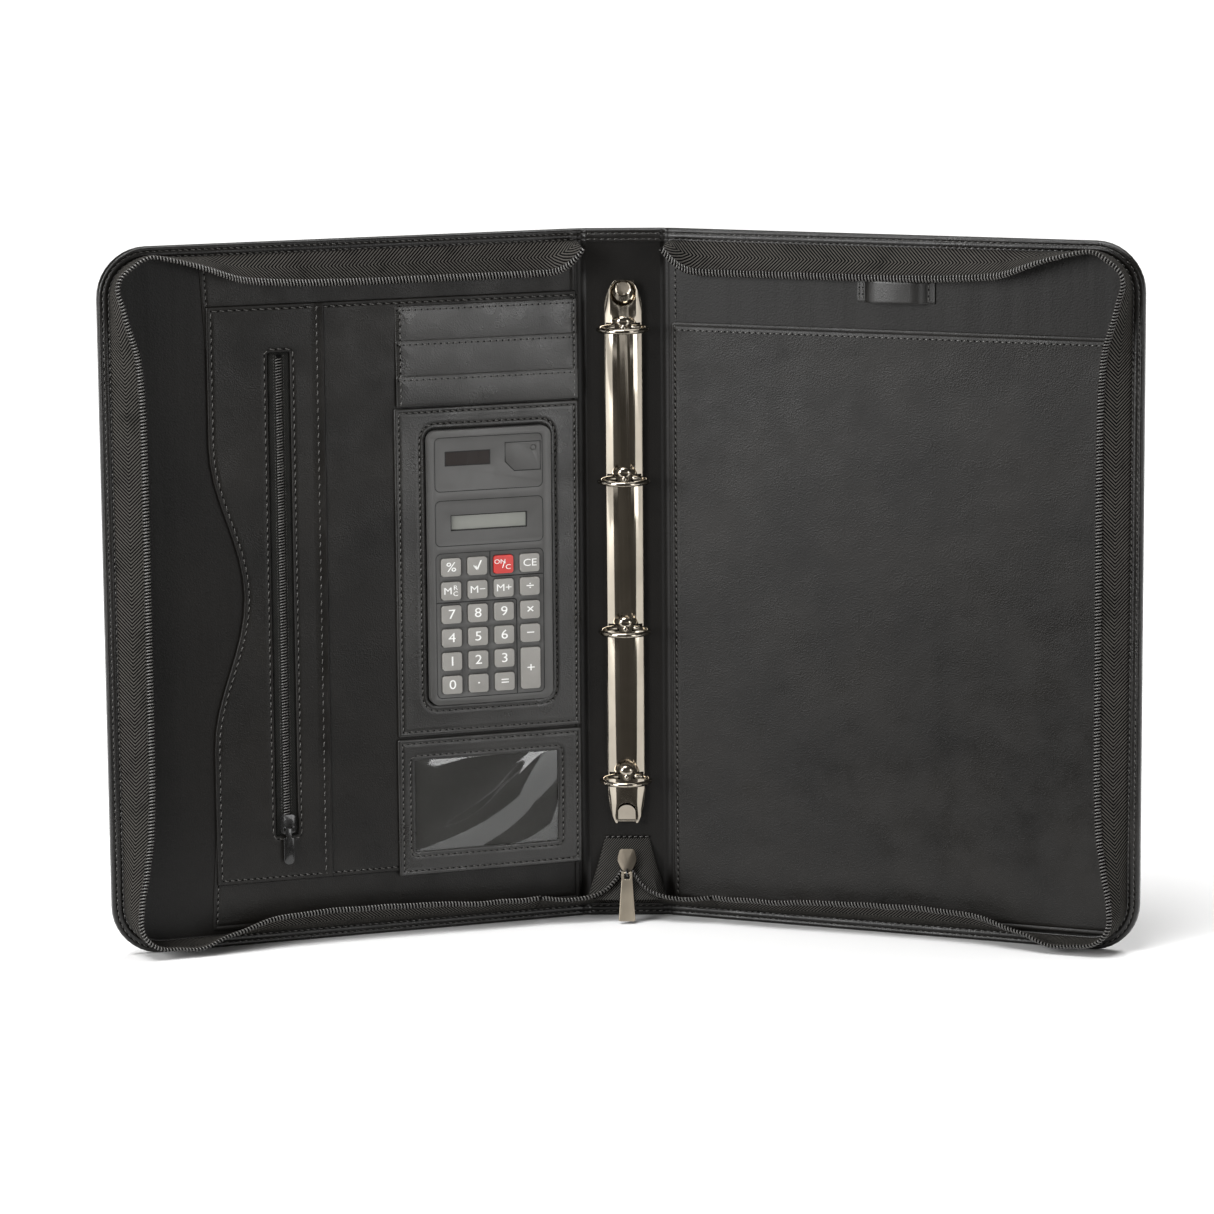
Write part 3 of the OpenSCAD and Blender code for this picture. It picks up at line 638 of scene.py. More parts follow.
def coil_mesh(spots, ups, pitch=COIL_PITCH, wide=1.65, high=0.8, wire=0.45, per_turn=10):
    """A flattened nylon coil along row frame points; ups are the outward directions across the tape."""
    spots = [Vector(p) for p in spots]
    runs = np.r_[0, np.cumsum([(b - a).length for a, b in zip(spots, spots[1:])])] / MM
    turns = int(runs[-1] / pitch)
    centres = np.array(spots)
    outs = np.array(ups)
    rows = []
    for k in range(turns * per_turn + 1):
        s = k * pitch / per_turn
        c = Vector([np.interp(s, runs, centres[:, a]) for a in range(3)])
        c2 = Vector([np.interp(s + 0.5, runs, centres[:, a]) for a in range(3)])
        along = (c2 - c).normalized() if (c2 - c).length > 1e-9 else along
        out = Vector([np.interp(s, runs, outs[:, a]) for a in range(3)]).normalized()
        side_dir = along.cross(out).normalized()
        a = 2 * math.pi * k / per_turn
        mid = c + MM * (wide * math.cos(a) * out + high * math.sin(a) * side_dir)
        tangent = (-wide * math.sin(a) * out + high * math.cos(a) * side_dir) * (2 * math.pi) + along * pitch
        tangent.normalize()
        n1 = tangent.cross(along).normalized()
        n2 = tangent.cross(n1)
        rows.append([mid + MM * wire * (math.cos(b) * n1 + math.sin(b) * n2)
                     for b in (math.pi / 3 * j for j in range(6))])
    return solid(rows)


def coil(name, spots, ups, body=None, core=(1.75, 0.5), **shape):
    """A coil with a flat cord through it, painted near black as the shade between its turns."""
    wire = piece(name, None, *coil_mesh(spots, ups, **shape), "coil", body=body, sharp=80)
    rows = []
    for i, (spot, up) in enumerate(zip(spots, ups)):
        along = (spots[min(i + 1, len(spots) - 1)] - spots[max(i - 1, 0)]).normalized()
        out = up.normalized()
        flat = along.cross(out).normalized()
        rows.append([spot + MM * (core[0] * math.cos(a) * out + core[1] * math.sin(a) * flat)
                     for a in (math.pi / 4 * k for k in range(8))])
    cord = piece(name + "_cord", None, *solid(rows), "core", body=body)
    return wire, cord


def cloth_skin(name, grid, uvs, look, thick=0.45, body=None, replaces=()):
    """A closed thin cloth over a grid of row frame points."""
    verts, faces = loft(grid)
    obj = piece(name, None, verts, faces, look, body=None, uvs=uvs, sharp=70)
    solid = obj.modifiers.new("thickness", "SOLIDIFY")
    solid.thickness = thick * MM
    solid.offset = 0
    settle(obj)
    if body:
        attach(obj, body)
    if replaces:
        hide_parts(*replaces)
    return obj


def settle(obj):
    """Applies an object's modifiers to its mesh."""
    graph = bpy.context.evaluated_depsgraph_get()
    mesh = bpy.data.meshes.new_from_object(obj.evaluated_get(graph), depsgraph=graph)
    obj.modifiers.clear()
    obj.data = mesh


def zip_tape(side):
    across = 9
    stations = rim(4, 4, COVER_RUN_END)
    grid = [[place(side, *tape_spot(st, j / across)) for j in range(across + 1)] for st in stations]
    uvs = [(st[4], TAPE_W * j / across) for st in stations for j in range(across + 1)]
    cloth_skin(side + "_woven_tape", grid, uvs, "tape", body=BODY[side],
               replaces=[side + "_zip_tape"])
    fine = rim(1.5, 4, COVER_RUN_END)
    spots = [place(side, *tape_spot(st, 1.0, 0.5)) for st in fine]
    ups = [place(side, *tape_spot(st, 1.05, 0.5)) - p for st, p in zip(fine, spots)]
    coil(side + "_coil", spots, ups, BODY[side])


def bezier(points, n):
    """A smooth curve through row frame points, as Catmull-Rom spans of n steps."""
    pts = [2 * points[0] - points[1], *points, 2 * points[-1] - points[-2]]
    curve = []
    for p0, p1, p2, p3 in zip(pts, pts[1:], pts[2:], pts[3:]):
        for i in range(n):
            t = i / n
            curve.append(0.5 * (2 * p1 + (p2 - p0) * t + (2 * p0 - 5 * p1 + 4 * p2 - p3) * t * t
                                + (3 * p1 - p0 - 3 * p2 + p3) * t ** 3))
    return [*curve, points[-1]]


# the coil's way from under the slider out to a cover, for the right side, in millimetres
COIL_WAY = [(2.3, -14.2, 27.0), (4.6, -15.8, 24.2), (9.5, -18.2, 18.8), (16.0, -20.4, 15.4),
            (24.0, -22.4, 13.8), (34.0, -24.0, 13.4)]


def zip_crossing(side):
    """The coil and its tape where they leave a cover and run up to the slider."""
    sign = 1 if side == "right" else -1
    *_, previous, last = rim(4, 4, COVER_RUN_END)
    goal = place(side, *tape_spot(last, 1.0, 0.5))
    before = place(side, *tape_spot(previous, 1.0, 0.5))
    way = [Vector((sign * x, y, z)) * MM for x, y, z in COIL_WAY] + [goal, before]
    curve = bezier(way, 10)[:-10]
    seam_end = place(side, *tape_spot(last, 0.0))
    foot = [Vector((sign * 1.0, FACE_Y - 0.8, 7)) * MM, Vector((sign * 12, FACE_Y - 0.8, 7)) * MM,
            Vector((sign * 20.5, FACE_Y - 0.9, 6.6)) * MM, place(side, 10, 6.3, 0.8), seam_end]
    base = bezier(foot, 24)
    grid, uvs = [], []
    across = 8
    for i, top in enumerate(curve):
        t = i / (len(curve) - 1)
        low = base[round(t * (len(base) - 1))]
        for j in range(across + 1):
            w = j / across
            sag = 2.2 * math.sin(math.pi * w) * MM
            point = low.lerp(top, w) + Vector((0, 0.6 * sag, -0.5 * sag))
            uvs.append((last[4] - 60 * (1 - t), TAPE_W * w))
            grid.append(point)
    rows = [grid[k:k + across + 1] for k in range(0, len(grid), across + 1)]
    tape = cloth_skin(side + "_tape_end", rows, uvs, "tape")
    ups = [(top - row[-2]) for top, row in zip(curve, rows)]
    for obj in (tape, *coil(side + "_coil_end", curve, ups)):
        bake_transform(obj)


# half the zip end's width at its top, and how much wider it is at its foot
END_HALF, END_FLARE = 11.9, 8.6


def zip_end():
    """The wedge of woven tape that carries the closed end of the chain."""
    low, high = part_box("zip_gusset")
    top_z, foot_z = high.z / MM, low.z / MM
    top_d, foot_d = 1.4, FACE_Y - low.y / MM
    rows, uvs = [], []
    steps, across = 14, 12
    for i in range(steps + 1):
        t = i / steps
        half = END_HALF + END_FLARE * t ** 1.1
        z = top_z + (foot_z - top_z) * t
        d = top_d + (foot_d - top_d) * t - 0.6 * math.sin(math.pi * t)
        ring = [(-half, z, 0.02)]
        uvs.append((z, -half))
        for j in range(across + 1):
            x = half * (2 * j / across - 1)
            edge = 1 - abs(2 * j / across - 1)
            ring.append((x, z, d * min(1, 0.72 + 2.4 * edge) - 0.5 * math.cos(2 * math.pi * j / across)))
            uvs.append((z, x))
        ring.append((half, z, 0.02))
        uvs.append((z, half))
        rows.append(ring)
    piece("zip_end_fabric", "spine", *solid(rows), "gusset", uvs=uvs, replaces=["zip_gusset"])
    SEAMS["spine"].row([(-12, top_z + 0.9), (12, top_z + 0.9)], 0.9, pitch=3.0)


# ---- the left organiser ----


def box_of(node, side):
    low, high = span(node, side)
    return (low[0], high[0], low[1], high[1]), (low[2], high[2])


# the front pocket's edge is scooped in to SCOOP_U, over SCOOP_REACH above and below its middle
SCOOP_U, SCOOP_REACH, SCOOP_SPREAD = 185.5, 80, 22
# the document pocket's edge sags less and further along, over BACK_REACH
BACK_SAG, BACK_REACH, BACK_SPREAD = 13, 190, 40
RIDGE_U = 141.5
# the section of the fold beside the pocket zip, as u and height
RIDGE = [(-1.0, -0.3), (-0.9, 0.3), (-0.6, 0.7), (-0.1, 0.85), (0.5, 0.65), (1.4, 0.25), (6, 0.05),
         (6.2, -0.3)]


def left_pockets():
    back_box, back_d = box_of("document_pocket", "left")
    box, d = box_of("gusset_pocket", "left")
    zip_box, zip_d = box_of("pocket_zip_tape", "left")
    scoop = box[1] - SCOOP_U
    middle = (box[2] + box[3]) / 2

    def bell(z, reach):
        return 0.5 + 0.5 * math.cos(math.pi * min(1.0, abs(z - middle) / reach))

    def scooped(u, z, inset):
        near = max(0.0, 1 - (box[1] - inset - u) / SCOOP_SPREAD)
        return u - scoop * bell(z, SCOOP_REACH) * near, z

    def behind(u, z, inset):
        near = max(0.0, 1 - (back_box[1] - inset - u) / BACK_SPREAD)
        return u + near * (2.5 - BACK_SAG * bell(z, BACK_REACH) - scoop * bell(z, SCOOP_REACH)), z

    back_box = (back_box[0], back_box[1], back_box[2] - 5, back_box[3] + 5)
    panel("document_pocket_sheet", "left", back_box, back_d, "pocket", warp=behind,
          replaces=["document_pocket"])
    heights = np.linspace(back_box[2] + 3, back_box[3] - 3, 60)
    SEAMS["left"].row([behind(back_box[1] - 2.4, z, 2.4) for z in heights], back_d[1] - 0.2)

    hole = (zip_box[0] - 0.1, zip_box[1] + 0.1, zip_box[2], zip_box[3])
    frame_panel("gusset_pocket_sheet", "left", box, hole, d, "pocket", warp=scooped, hole_seam=1.6,
                replaces=["gusset_pocket"])
    face = d[1] - 0.2
    row = SEAMS["left"].row
    heights = np.linspace(box[2] + 2.4, box[3] - 2.4, 80)
    row([scooped(box[1] - 2.4, z, 2.4) for z in heights], face, pitch=4.2)
    row([(box[1] - 2.4, box[3] - 2.4), (box[0], box[3] - 2.4)], face, pitch=4.2)
    row([(box[0], box[2] + 2.4), (box[1] - 3, box[2] + 2.4)], face)
    row(rect_path(hole, -1.7), face, pitch=4.2, closed=True)
    row([(RIDGE_U + 3, box[2] + 3), (RIDGE_U + 3, box[3] - 1)], d[1], pitch=4.4)
    rows = [[(RIDGE_U + u, z, d[1] + h) for u, h in RIDGE] for z in (box[2] + 0.6, box[3] - 0.6)]
    piece("pocket_fold", "left", *solid(rows), "pocket")
    pocket_zip(zip_box, zip_d)


POCKET_TAPE_HALF = 5.9


def pocket_zip(box, d):
    """The vertical pocket zip: two woven tapes, a closed coil with its sewing, slider and pull."""
    u = (box[0] + box[1]) / 2
    grid = []
    uvs = []
    for z in np.linspace(box[2], box[3], 60):
        for j in range(9):
            k = 2 * j / 8 - 1
            grid.append(place("left", u + POCKET_TAPE_HALF * k, z, d[0] + 0.45 - 0.2 * abs(k)))
            uvs.append((z, POCKET_TAPE_HALF * k))
    rows = [grid[i:i + 9] for i in range(0, len(grid), 9)]
    cloth_skin("pocket_woven_tape", rows, uvs, "black_zip", body="left_cover",
               replaces=["pocket_zip_tape"])
    spots = [place("left", u, z, d[0] + 1.15) for z in (box[2] + 1, box[3] - 1)]
    ups = [place("left", u + 1, 0, 0) - place("left", u, 0, 0)] * 2
    coil("pocket_coil", spots, ups, "left_cover", core=(1.3, 0.1), pitch=1.5, wide=1.5, high=0.42, wire=0.34,
         per_turn=8)
    for s in (-1, 1):
        SEAMS["left"].row([(u + s * 2.6, box[2] + 1), (u + s * 2.6, box[3] - 1)], d[0] + 0.45,
                          pitch=1.6, thick=0.16)
    bevelled("pocket_zip_slider", "black_metal", 0.3)
    bevelled("pocket_zip_pull", "black_metal", 0.3)


# how far each card slot's top lies below the first one's
SLOT_DROPS, SLOT_H = (0, 18, 36.5), 22


def card_slots():
    low, high = span("card_slots", "left")
    t = (high[2] - low[2]) / len(SLOT_DROPS)
    for k, drop in enumerate(SLOT_DROPS):
        top = high[1] - drop
        d = (low[2] + k * t, low[2] + (k + 1) * t)
        box = (low[0], high[0], low[1] if k == 2 else top - SLOT_H, top)
        name = f"card_slot_{k + 1}"
        obj = panel(name, "left", box, d, "strip", seam=None, puff=0.35)
        if k == 0:
            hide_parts("card_slots")
        SEAMS["left"].row([(low[0] + 1, top - 2.3), (high[0] - 1, top - 2.3)], d[1] + 0.1)
    for u in (low[0] + 2.2, high[0] - 2.2):
        SEAMS["left"].row([(u, low[1]), (u, high[1])], high[2] + 0.05)


def calculator_frame():
    box, d = box_of("calculator_frame", "left")
    low, high = span("calculator_back", "left")
    hole = (low[0] - 0.5, high[0] + 0.5, low[1] - 0.5, high[1] + 0.5)
    frame_panel("calculator_frame_sheet", "left", box, hole, d, "strip", hole_r=5,
                hole_seam=3.0, replaces=["calculator_frame"])
    face = d[1] - 0.2
    row = SEAMS["left"].row
    row(rect_path(box, 2.4), face, closed=True)
    row(rect_path(hole, -3.0, 5), face, closed=True)


FILM_WAVE, FILM_RISE = 27, 0.78
FILM_TILT = math.radians(35)
FILM_COLUMNS, FILM_ROWS = 60, 36
FILM_HOLD = 0.35


def id_window():
    box, d = box_of("id_window_frame", "left")
    film_box, film_d = box_of("id_window_film", "left")
    lap = 3
    hole = (film_box[0] + lap, film_box[1] - lap, film_box[2] + lap, film_box[3] - lap)
    frame_panel("id_window_sheet", "left", box, hole, (d[0] + 0.5, d[1]), "strip",
                hole_seam=2.6, replaces=["id_window_frame"])
    face = d[1] - 0.2
    row = SEAMS["left"].row
    row(rect_path(box, 2.4), face, closed=True)
    row(rect_path(hole, -2.6), face, closed=True)
    grid = []
    for i in range(FILM_COLUMNS + 1):
        line = []
        for j in range(FILM_ROWS + 1):
            a, b = i / FILM_COLUMNS, j / FILM_ROWS
            free = (math.sin(math.pi * a) * math.sin(math.pi * b)) ** FILM_HOLD
            u = film_box[0] + 0.4 + (film_box[1] - film_box[0] - 0.8) * a
            z = film_box[2] + 0.4 + (film_box[3] - film_box[2] - 0.8) * b
            bands = (u * math.sin(FILM_TILT) + z * math.cos(FILM_TILT)) / FILM_WAVE
            wave = math.sin(2 * math.pi * bands + 1.3 * math.sin(3.1 * a + 0.5) + 0.6 * math.sin(5 * b))
            line.append(place("left", u, z, film_d[0] + 0.2 + free * (0.05 + FILM_RISE * (1 + wave))))
        grid.append(line)
    cloth_skin("id_window_clear", grid, None, "film", thick=0.12, body="left_cover",
               replaces=["id_window_film"])
    backing = (film_box[0] + 0.3, film_box[1] - 0.3, film_box[2] + 0.3, film_box[3] - 0.3)
    panel("id_window_backing", "left", backing, (d[0] - 0.05, d[0] + 0.05), "card", seam=None)


# ---- the calculator ----

LEGENDS = {
    "key_decimal": "·", "key_equals": "=", "key_plus": "+", "key_minus": "−",
    "key_times": "×", "key_divide": "÷", "key_percent": "%", "key_root": "√",
    "key_clear_entry": "CE", "key_memory_minus": "M−", "key_memory_plus": "M+",
}
# the legends of the two keys that carry more than one: text, place from the key's middle, size
PART_LEGENDS = {
    "key_on_clear": {"on": ("ON", 2.1, 1.5, 3.4), "slash": ("/", 0, 0, 6), "c": ("C", -2.4, -1.5, 3.6)},
    "key_memory_recall": {"m": ("M", 2, 0, 5.2), "r": ("R", -2.2, 1.6, 3.4), "c": ("C", -2.2, -1.6, 3.4)},
}
LEGEND_STRETCH = 1.2
# the panels moulded into the front shell, as u and z from and to
PANELS = {"keypad_line": (24.2, 83.7, 124.7, 201.8), "display_line": (24.2, 83.7, 205.3, 229.6),
          "solar_panel_line": (24.2, 83.7, 234.1, 262.8)}


def legend(name, text, body, u, z, d, size):
    """Printed lettering that reads upright from inside the left cover."""
    curve = bpy.data.curves.new(name, "FONT")
    curve.body = text
    curve.size = size * MM
    curve.align_x = "CENTER"
    curve.align_y = "CENTER"
    curve.extrude = 0.04 * MM
    curve.resolution_u = 3
    curve.materials.append(LOOKS["ink"].material)
    obj = bpy.data.objects.new(name, curve)
    bpy.context.scene.collection.objects.link(obj)
    across = (place("left", u - 1, z, d) - place("left", u, z, d)).normalized()
    up = Vector((0, 0, 1))
    out = across.cross(up)
    obj.matrix_world = Matrix.Translation(place("left", u, z, d)) @ Matrix(
        (across * LEGEND_STRETCH, up, out)).transposed().to_4x4()
    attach(obj, body)


def key_face(node):
    """The middle of a key's face, as u, z and d."""
    low, high = span(node, "left")
    return (low[0] + high[0]) / 2, (low[1] + high[1]) / 2, high[2] + 0.02


def keys():
    for node in frame["nodes"]:
        if not node.startswith("key_"):
            continue
        bevelled(node, "key_red" if node == "key_on_clear" else "key", 0.35, 3)
        text = LEGENDS.get(node, node[-1] if node[-1].isdigit() else None)
        if text:
            legend(node + "_legend", text, node, *key_face(node), 5.4 if len(text) > 1 else 7.0)
    for node, parts in PART_LEGENDS.items():
        u, z, d = key_face(node)
        for part, (text, right, up, size) in parts.items():
            legend(f"{node}_{part}", text, node, u + right, z + up, d, size)


def partitions(d):
    """The two moulded lines that part the on keys and the digits from the rest."""
    u_on, z_on, _ = key_face("key_on_clear")
    u_root, z_low = key_face("key_root")[0], key_face("key_memory_plus")[1]
    u_edge, z_nine, _ = key_face("key_times")
    z_top, z_foot = z_on + 7.2, key_face("key_equals")[1] - 7.0
    u_far, u_near = key_face("key_percent")[0] + 8.0, u_edge - 7.8
    r = 1.6
    for name, corner, ends in (
            ("on_group_line", ((u_on + u_root) / 2, (z_on + z_low) / 2), (u_near, z_top)),
            ("digit_group_line", ((u_edge + u_on) / 2, (z_low + z_nine) / 2), (u_far, z_foot))):
        su, sz = math.copysign(r, ends[0] - corner[0]), math.copysign(r, ends[1] - corner[1])
        bend = [(corner[0] + su * (1 - math.cos(a)), corner[1] + sz * (1 - math.sin(a)))
                for a in (math.pi / 12 * k for k in range(7))]
        path = [(corner[0], ends[1]), *bend, (ends[0], corner[1])]
        # painted shade in the moulded partition line
        groove(name, path, d, 0.28, closed=False)


def groove(name, path, d, wire=0.27, closed=True):
    """A thin dark tube along a line on the calculator's face, which paints the shade in a groove, a gap or a
    recess edge.
    """
    spots = [place("left", u, z, d) for u, z in path]
    if closed:
        spots += spots[:2]
    piece(name, None, *tube(spots, wire * MM, 6), "groove", body="left_cover")


def grooves(face):
    # painted shade in the grooves round the moulded panels
    for name, box in PANELS.items():
        groove(name, rect_path(box, 0.1, 3), face + 0.04)
    low, high = span("battery_cover", "left")
    cut, e = 5.0, 0.08
    # painted shade in the gap round the battery hatch
    groove("hatch_line", [(low[0] - e, low[1] - e), (high[0] + e - cut, low[1] - e),
                          (high[0] + e, low[1] - e + cut), (high[0] + e, high[1] + e),
                          (low[0] - e, high[1] + e)], face, 0.24)
    low, high = span("lcd_panel", "left")
    # painted shade along the display's recess edge
    groove("lcd_line", rect_path((low[0] + 2, high[0] - 2, low[1] + 2, high[1] - 2), 0.1, 0.2),
           face - 0.9, 0.5)
    low, high = span("solar_cell", "left")
    # painted shade along the solar cell's recess edge
    groove("solar_line", rect_path((low[0], high[0], low[1], high[1]), 0.05, 0.2), face - 0.05, 0.22)
    for k in range(1, 4):
        u = low[0] + (high[0] - low[0]) * k / 4
        groove(f"cell_line_{k}", [(u, low[1]), (u, high[1])], high[2], 0.05, closed=False)


def calculator():
    bevelled("calculator_back", "case", 0.3)
    bevelled("calculator_front", "case", 0.12)
    bevelled("battery_cover", "case", 0.12)
    face = span("calculator_front", "left")[1][2]
    partitions(face - 0.26)
    grooves(face - 0.3)
    for node, look in (("solar_cell", "solar"), ("lcd_panel", "lcd"), ("circuit_board", "circuit"),
                       ("keypad_mat", "rubber")):
        carry(node, look)


def carry(node, look):
    """Gives a CAD node that stays its own finish."""
    obj = frame["nodes"][node]
    obj.data.materials.clear()
    obj.data.materials.append(LOOKS[look].material)


# ---- the right organiser ----


def right_pockets():
    box, d = box_of("pad_pocket", "right")
    box = (box[0], box[1] + 9, box[2] - 6, box[3])
    panel("pad_pocket_sheet", "right", box, d, "pocket", r=2, replaces=["pad_pocket"])
    row = SEAMS["right"].row
    row([(box[0] + 2.4, box[2]), (box[0] + 2.4, box[3] - 1)], d[1] - 0.2)
    row([(box[0] + 2.4, box[3] + 1), (box[0] + 2.4, CASE_H - 12)], 0.05)
    row([(box[0] + 3, box[3] - 4.2), (box[1] - 6, box[3] - 4.2)], d[1] + 0.02)
    pen_loop()


def pen_loop():
    box, d = box_of("pen_loop", "right")
    rise = d[1] - 1.0
    way = [(0, 0.5), (3.6, 0.5), (4.6, 0.8), (6.0, rise * 0.6), (8.2, rise * 0.93), (12, rise + 0.4)]
    width = box[1] - box[0]
    centre = way + [(width - u, h) for u, h in reversed(way)]
    rows = []
    for z in (0, 0.25, 1.2, 10.3, 11.25, 11.5):
        thick = 0.5 if 0.1 < z < 11.4 else 0.3
        outer, inner = [], []
        for i, (u, h) in enumerate(centre):
            a, b = centre[max(i - 1, 0)], centre[min(i + 1, len(centre) - 1)]
            run = math.hypot(b[0] - a[0], b[1] - a[1])
            nu, nh = -(b[1] - a[1]) / run, (b[0] - a[0]) / run
            outer.append((box[0] + u + thick * nu, box[2] + z, h + thick * nh))
            inner.append((box[0] + u - thick * nu, box[2] + z, h - thick * nh))
        rows.append(outer + inner[::-1])
    piece("pen_loop_band", "right", *solid(rows), "elastic", replaces=["pen_loop"])
    for u in (box[0] + 1.2, box[0] + 3.2, box[1] - 3.2):
        SEAMS["right"].row([(u, box[2] + 0.8), (u, box[3] - 0.8)], 1.0, pitch=3.0)


# ---- the ring mechanism ----


def dome(name, z, radius, rise, stretch=1.0):
    """A pressed dome on the plate's crown."""
    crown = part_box("ring_plate")[0].y / MM
    rows = []
    for i in range(8):
        a = math.pi / 2 * i / 8
        r, y = radius * math.cos(a), crown + 0.5 - (rise + 0.5) * math.sin(a)
        rows.append([Vector((r * math.cos(b), y, z + stretch * r * math.sin(b))) * MM
                     for b in (2 * math.pi * j / 24 for j in range(24))])
    piece(name, None, *solid(rows), "plate", body="spine")


RINGS, RING_LOW, RING_PITCH = 4, 77, 80
EYELET_R = 3.6


def ring_mechanism():
    bevelled("ring_plate", "plate", 0.3, 3)
    bevelled("plate_rivets", "plate", 0.2)
    bevelled("ring_lever", "plate", 0.3, 3)
    for node in ("left_ring_blade", "right_ring_blade"):
        carry(node, "plate")
    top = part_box("plate_rivets")[1].z / MM
    eyelet_y, eyelet_z, rim_r = FACE_Y - 1.5, top - EYELET_R - 0.9, EYELET_R + 0.3
    ring = [Vector((rim_r * math.cos(a), eyelet_y, eyelet_z + rim_r * math.sin(a))) * MM
            for a in (2 * math.pi * k / 32 for k in range(34))]
    piece("eyelet_rim", None, *tube(ring, 0.6 * MM, 8), "plate", body="spine")
    for k in range(RINGS):
        z = RING_LOW + RING_PITCH * k
        dome(f"ring_boss_{k + 1}", z - 0.6, 2.1, 2.0)
        dome(f"ring_arch_{k + 1}", z + 2.6, 3.9, 1.3, 0.75)


# ---- the main slider ----

CORNER_CUTS = 4


def rounded(outline, r):
    """A closed outline with its corners turned at radius r, or less where its sides are short."""
    path = []
    for i, corner in enumerate(outline):
        corner = Vector(corner)
        ends = [Vector(outline[i - 1]), Vector(outline[(i + 1) % len(outline)])]
        cut = [corner.lerp(end, min(0.45, r / (end - corner).length)) for end in ends]
        for t in (k / CORNER_CUTS for k in range(CORNER_CUTS + 1)):
            path.append((1 - t) ** 2 * cut[0] + 2 * t * (1 - t) * corner + t * t * cut[1])
    return path


def slab(name, outline, depths, at, look, body, soft, crown, r, replaces=()):
    """A plate over an outline of (x, z) between two depths, with soft edges and a crowned face."""
    path = rounded(outline, r)
    inward = []
    for i, spot in enumerate(path):
        run = path[(i + 1) % len(path)] - path[i - 1]
        inward.append(Vector((run.y, -run.x)).normalized())
    middle = sum(path, Vector((0, 0))) / len(path)
    if (middle - path[0]).dot(inward[0]) < 0:
        inward = [-v for v in inward]
    low, high = depths
    turn = [(soft * (1 - math.cos(a)), soft * (1 - math.sin(a)))
            for a in (math.pi / 10 * k for k in range(6))]
    rows = [(e, low + h, 0) for e, h in reversed(turn)] + [(e, high - h, 0) for e, h in turn]
    rows += [(soft, high + crown * (1 - (1 - t) ** 2), t) for t in (0.15, 0.35, 0.6, 0.85)]
    skins = []
    for e, d, shrink in rows:
        skins.append([at(*(spot + e * v).lerp(middle, shrink), d) for spot, v in zip(path, inward)])
    piece(name, None, *solid(skins), look, body=body, replaces=replaces)


def leaning(origin, lean):
    """Spots (x, z, out) in a frame at an origin, whose front leans back by an angle."""
    c, s = math.cos(math.radians(lean)), math.sin(math.radians(lean))
    return lambda x, z, out: Vector((x, origin[0] - out * c + z * s, origin[1] + out * s + z * c)) * MM


# the closed chain's lean and the pull's, in degrees; the chain's top and the pull's pin, as in the CAD
CHAIN_LEAN, PULL_LEAN = 30, 12
CHAIN_TOP = (-3.4, 41.5)
PIN = (0, -20.4, 5.5)
SHIELD = [(-4, -6.4), (4, -6.4), (5.3, -12.3), (4.5, -14.9), (2.6, -18.6), (1.2, -19.4), (-1.2, -19.4),
          (-2.6, -18.6), (-4.5, -14.9), (-5.3, -12.3)]
BLACK_LOOP = [(-18.0, 4.0), (-18.6, 5.9), (-19.8, 6.9), (-21.1, 6.7), (-21.9, 5.6), (-21.9, 3.9)]
PULL = [(-2.9, -3.2), (2.9, -3.2), (4.5, -25.6), (-4.5, -25.6)]


def bar(x0, x1, low, high):
    return [(x0, low), (x1, low), (x1, high), (x0, high)]


def zip_slider():
    """The slider's shield and cheeks, the black loop below it, and the pull that hangs from it."""
    at = leaning(CHAIN_TOP, CHAIN_LEAN)
    pin = at(*PIN)
    hang = leaning((pin.y / MM, pin.z / MM), PULL_LEAN)
    slab("slider_shield", SHIELD, (3.2, 4.4), at, "slider", "zip_slider", 0.4, 0.7, 1.6,
         replaces=["zip_slider"])
    slab("pull_plate", PULL, (-0.3, 0.65), hang, "nickel", "zip_pull", 0.3, 0.12, 1.0,
         replaces=["zip_pull"])
    for side in (-1, 1):
        cheek = bar(*sorted((side * 3.1, side * 4.4)), -15.5, -8)
        slab(f"slider_cheek_{side + 2}", cheek, (0.6, 3.5), at, "slider", "zip_slider", 0.2, 0, 0.4)
        arm = bar(*sorted((side * 1.5, side * 2.9)), -4, 0.8)
        slab(f"pull_arm_{side + 2}", arm, (-0.65, 0.65), hang, "nickel", "zip_pull", 0.25, 0, 0.5)
    loop = [at(0, z, out) for z, out in BLACK_LOOP]
    piece("slider_bridge", None, *tube(loop, 0.75 * MM, 10), "black_metal", body="zip_slider")
    piece("pull_pin", None, *tube([hang(x, 0, 0) for x in (-2.8, 0, 2.8)], 0.7 * MM, 10), "nickel",
          body="zip_pull")


# ---- camera, light and floor ----


def add_camera():
    azimuth, elevation, roll = (math.radians(a) for a in (1.2, 9.74, -0.47))
    target = Vector((-9.8, 0, 166.8)) * MM
    distance = 2.7
    away = Vector((math.sin(azimuth) * math.cos(elevation), -math.cos(azimuth) * math.cos(elevation),
                   math.sin(elevation)))
    right = away.cross(Vector((0, 0, 1))) * -1
    right.normalize()
    up = away.cross(right)
    tilted = right * math.cos(roll) + up * math.sin(roll)
    top = up * math.cos(roll) - right * math.sin(roll)
    camera = bpy.data.objects.new("camera", bpy.data.cameras.new("camera"))
    bpy.context.scene.collection.objects.link(camera)
    camera.matrix_world = Matrix.Translation(target + away * distance) @ Matrix(
        (tilted, top, away)).transposed().to_4x4()
    camera.data.lens = 151.1
    camera.data.sensor_width = 36
    bpy.context.scene.camera = camera


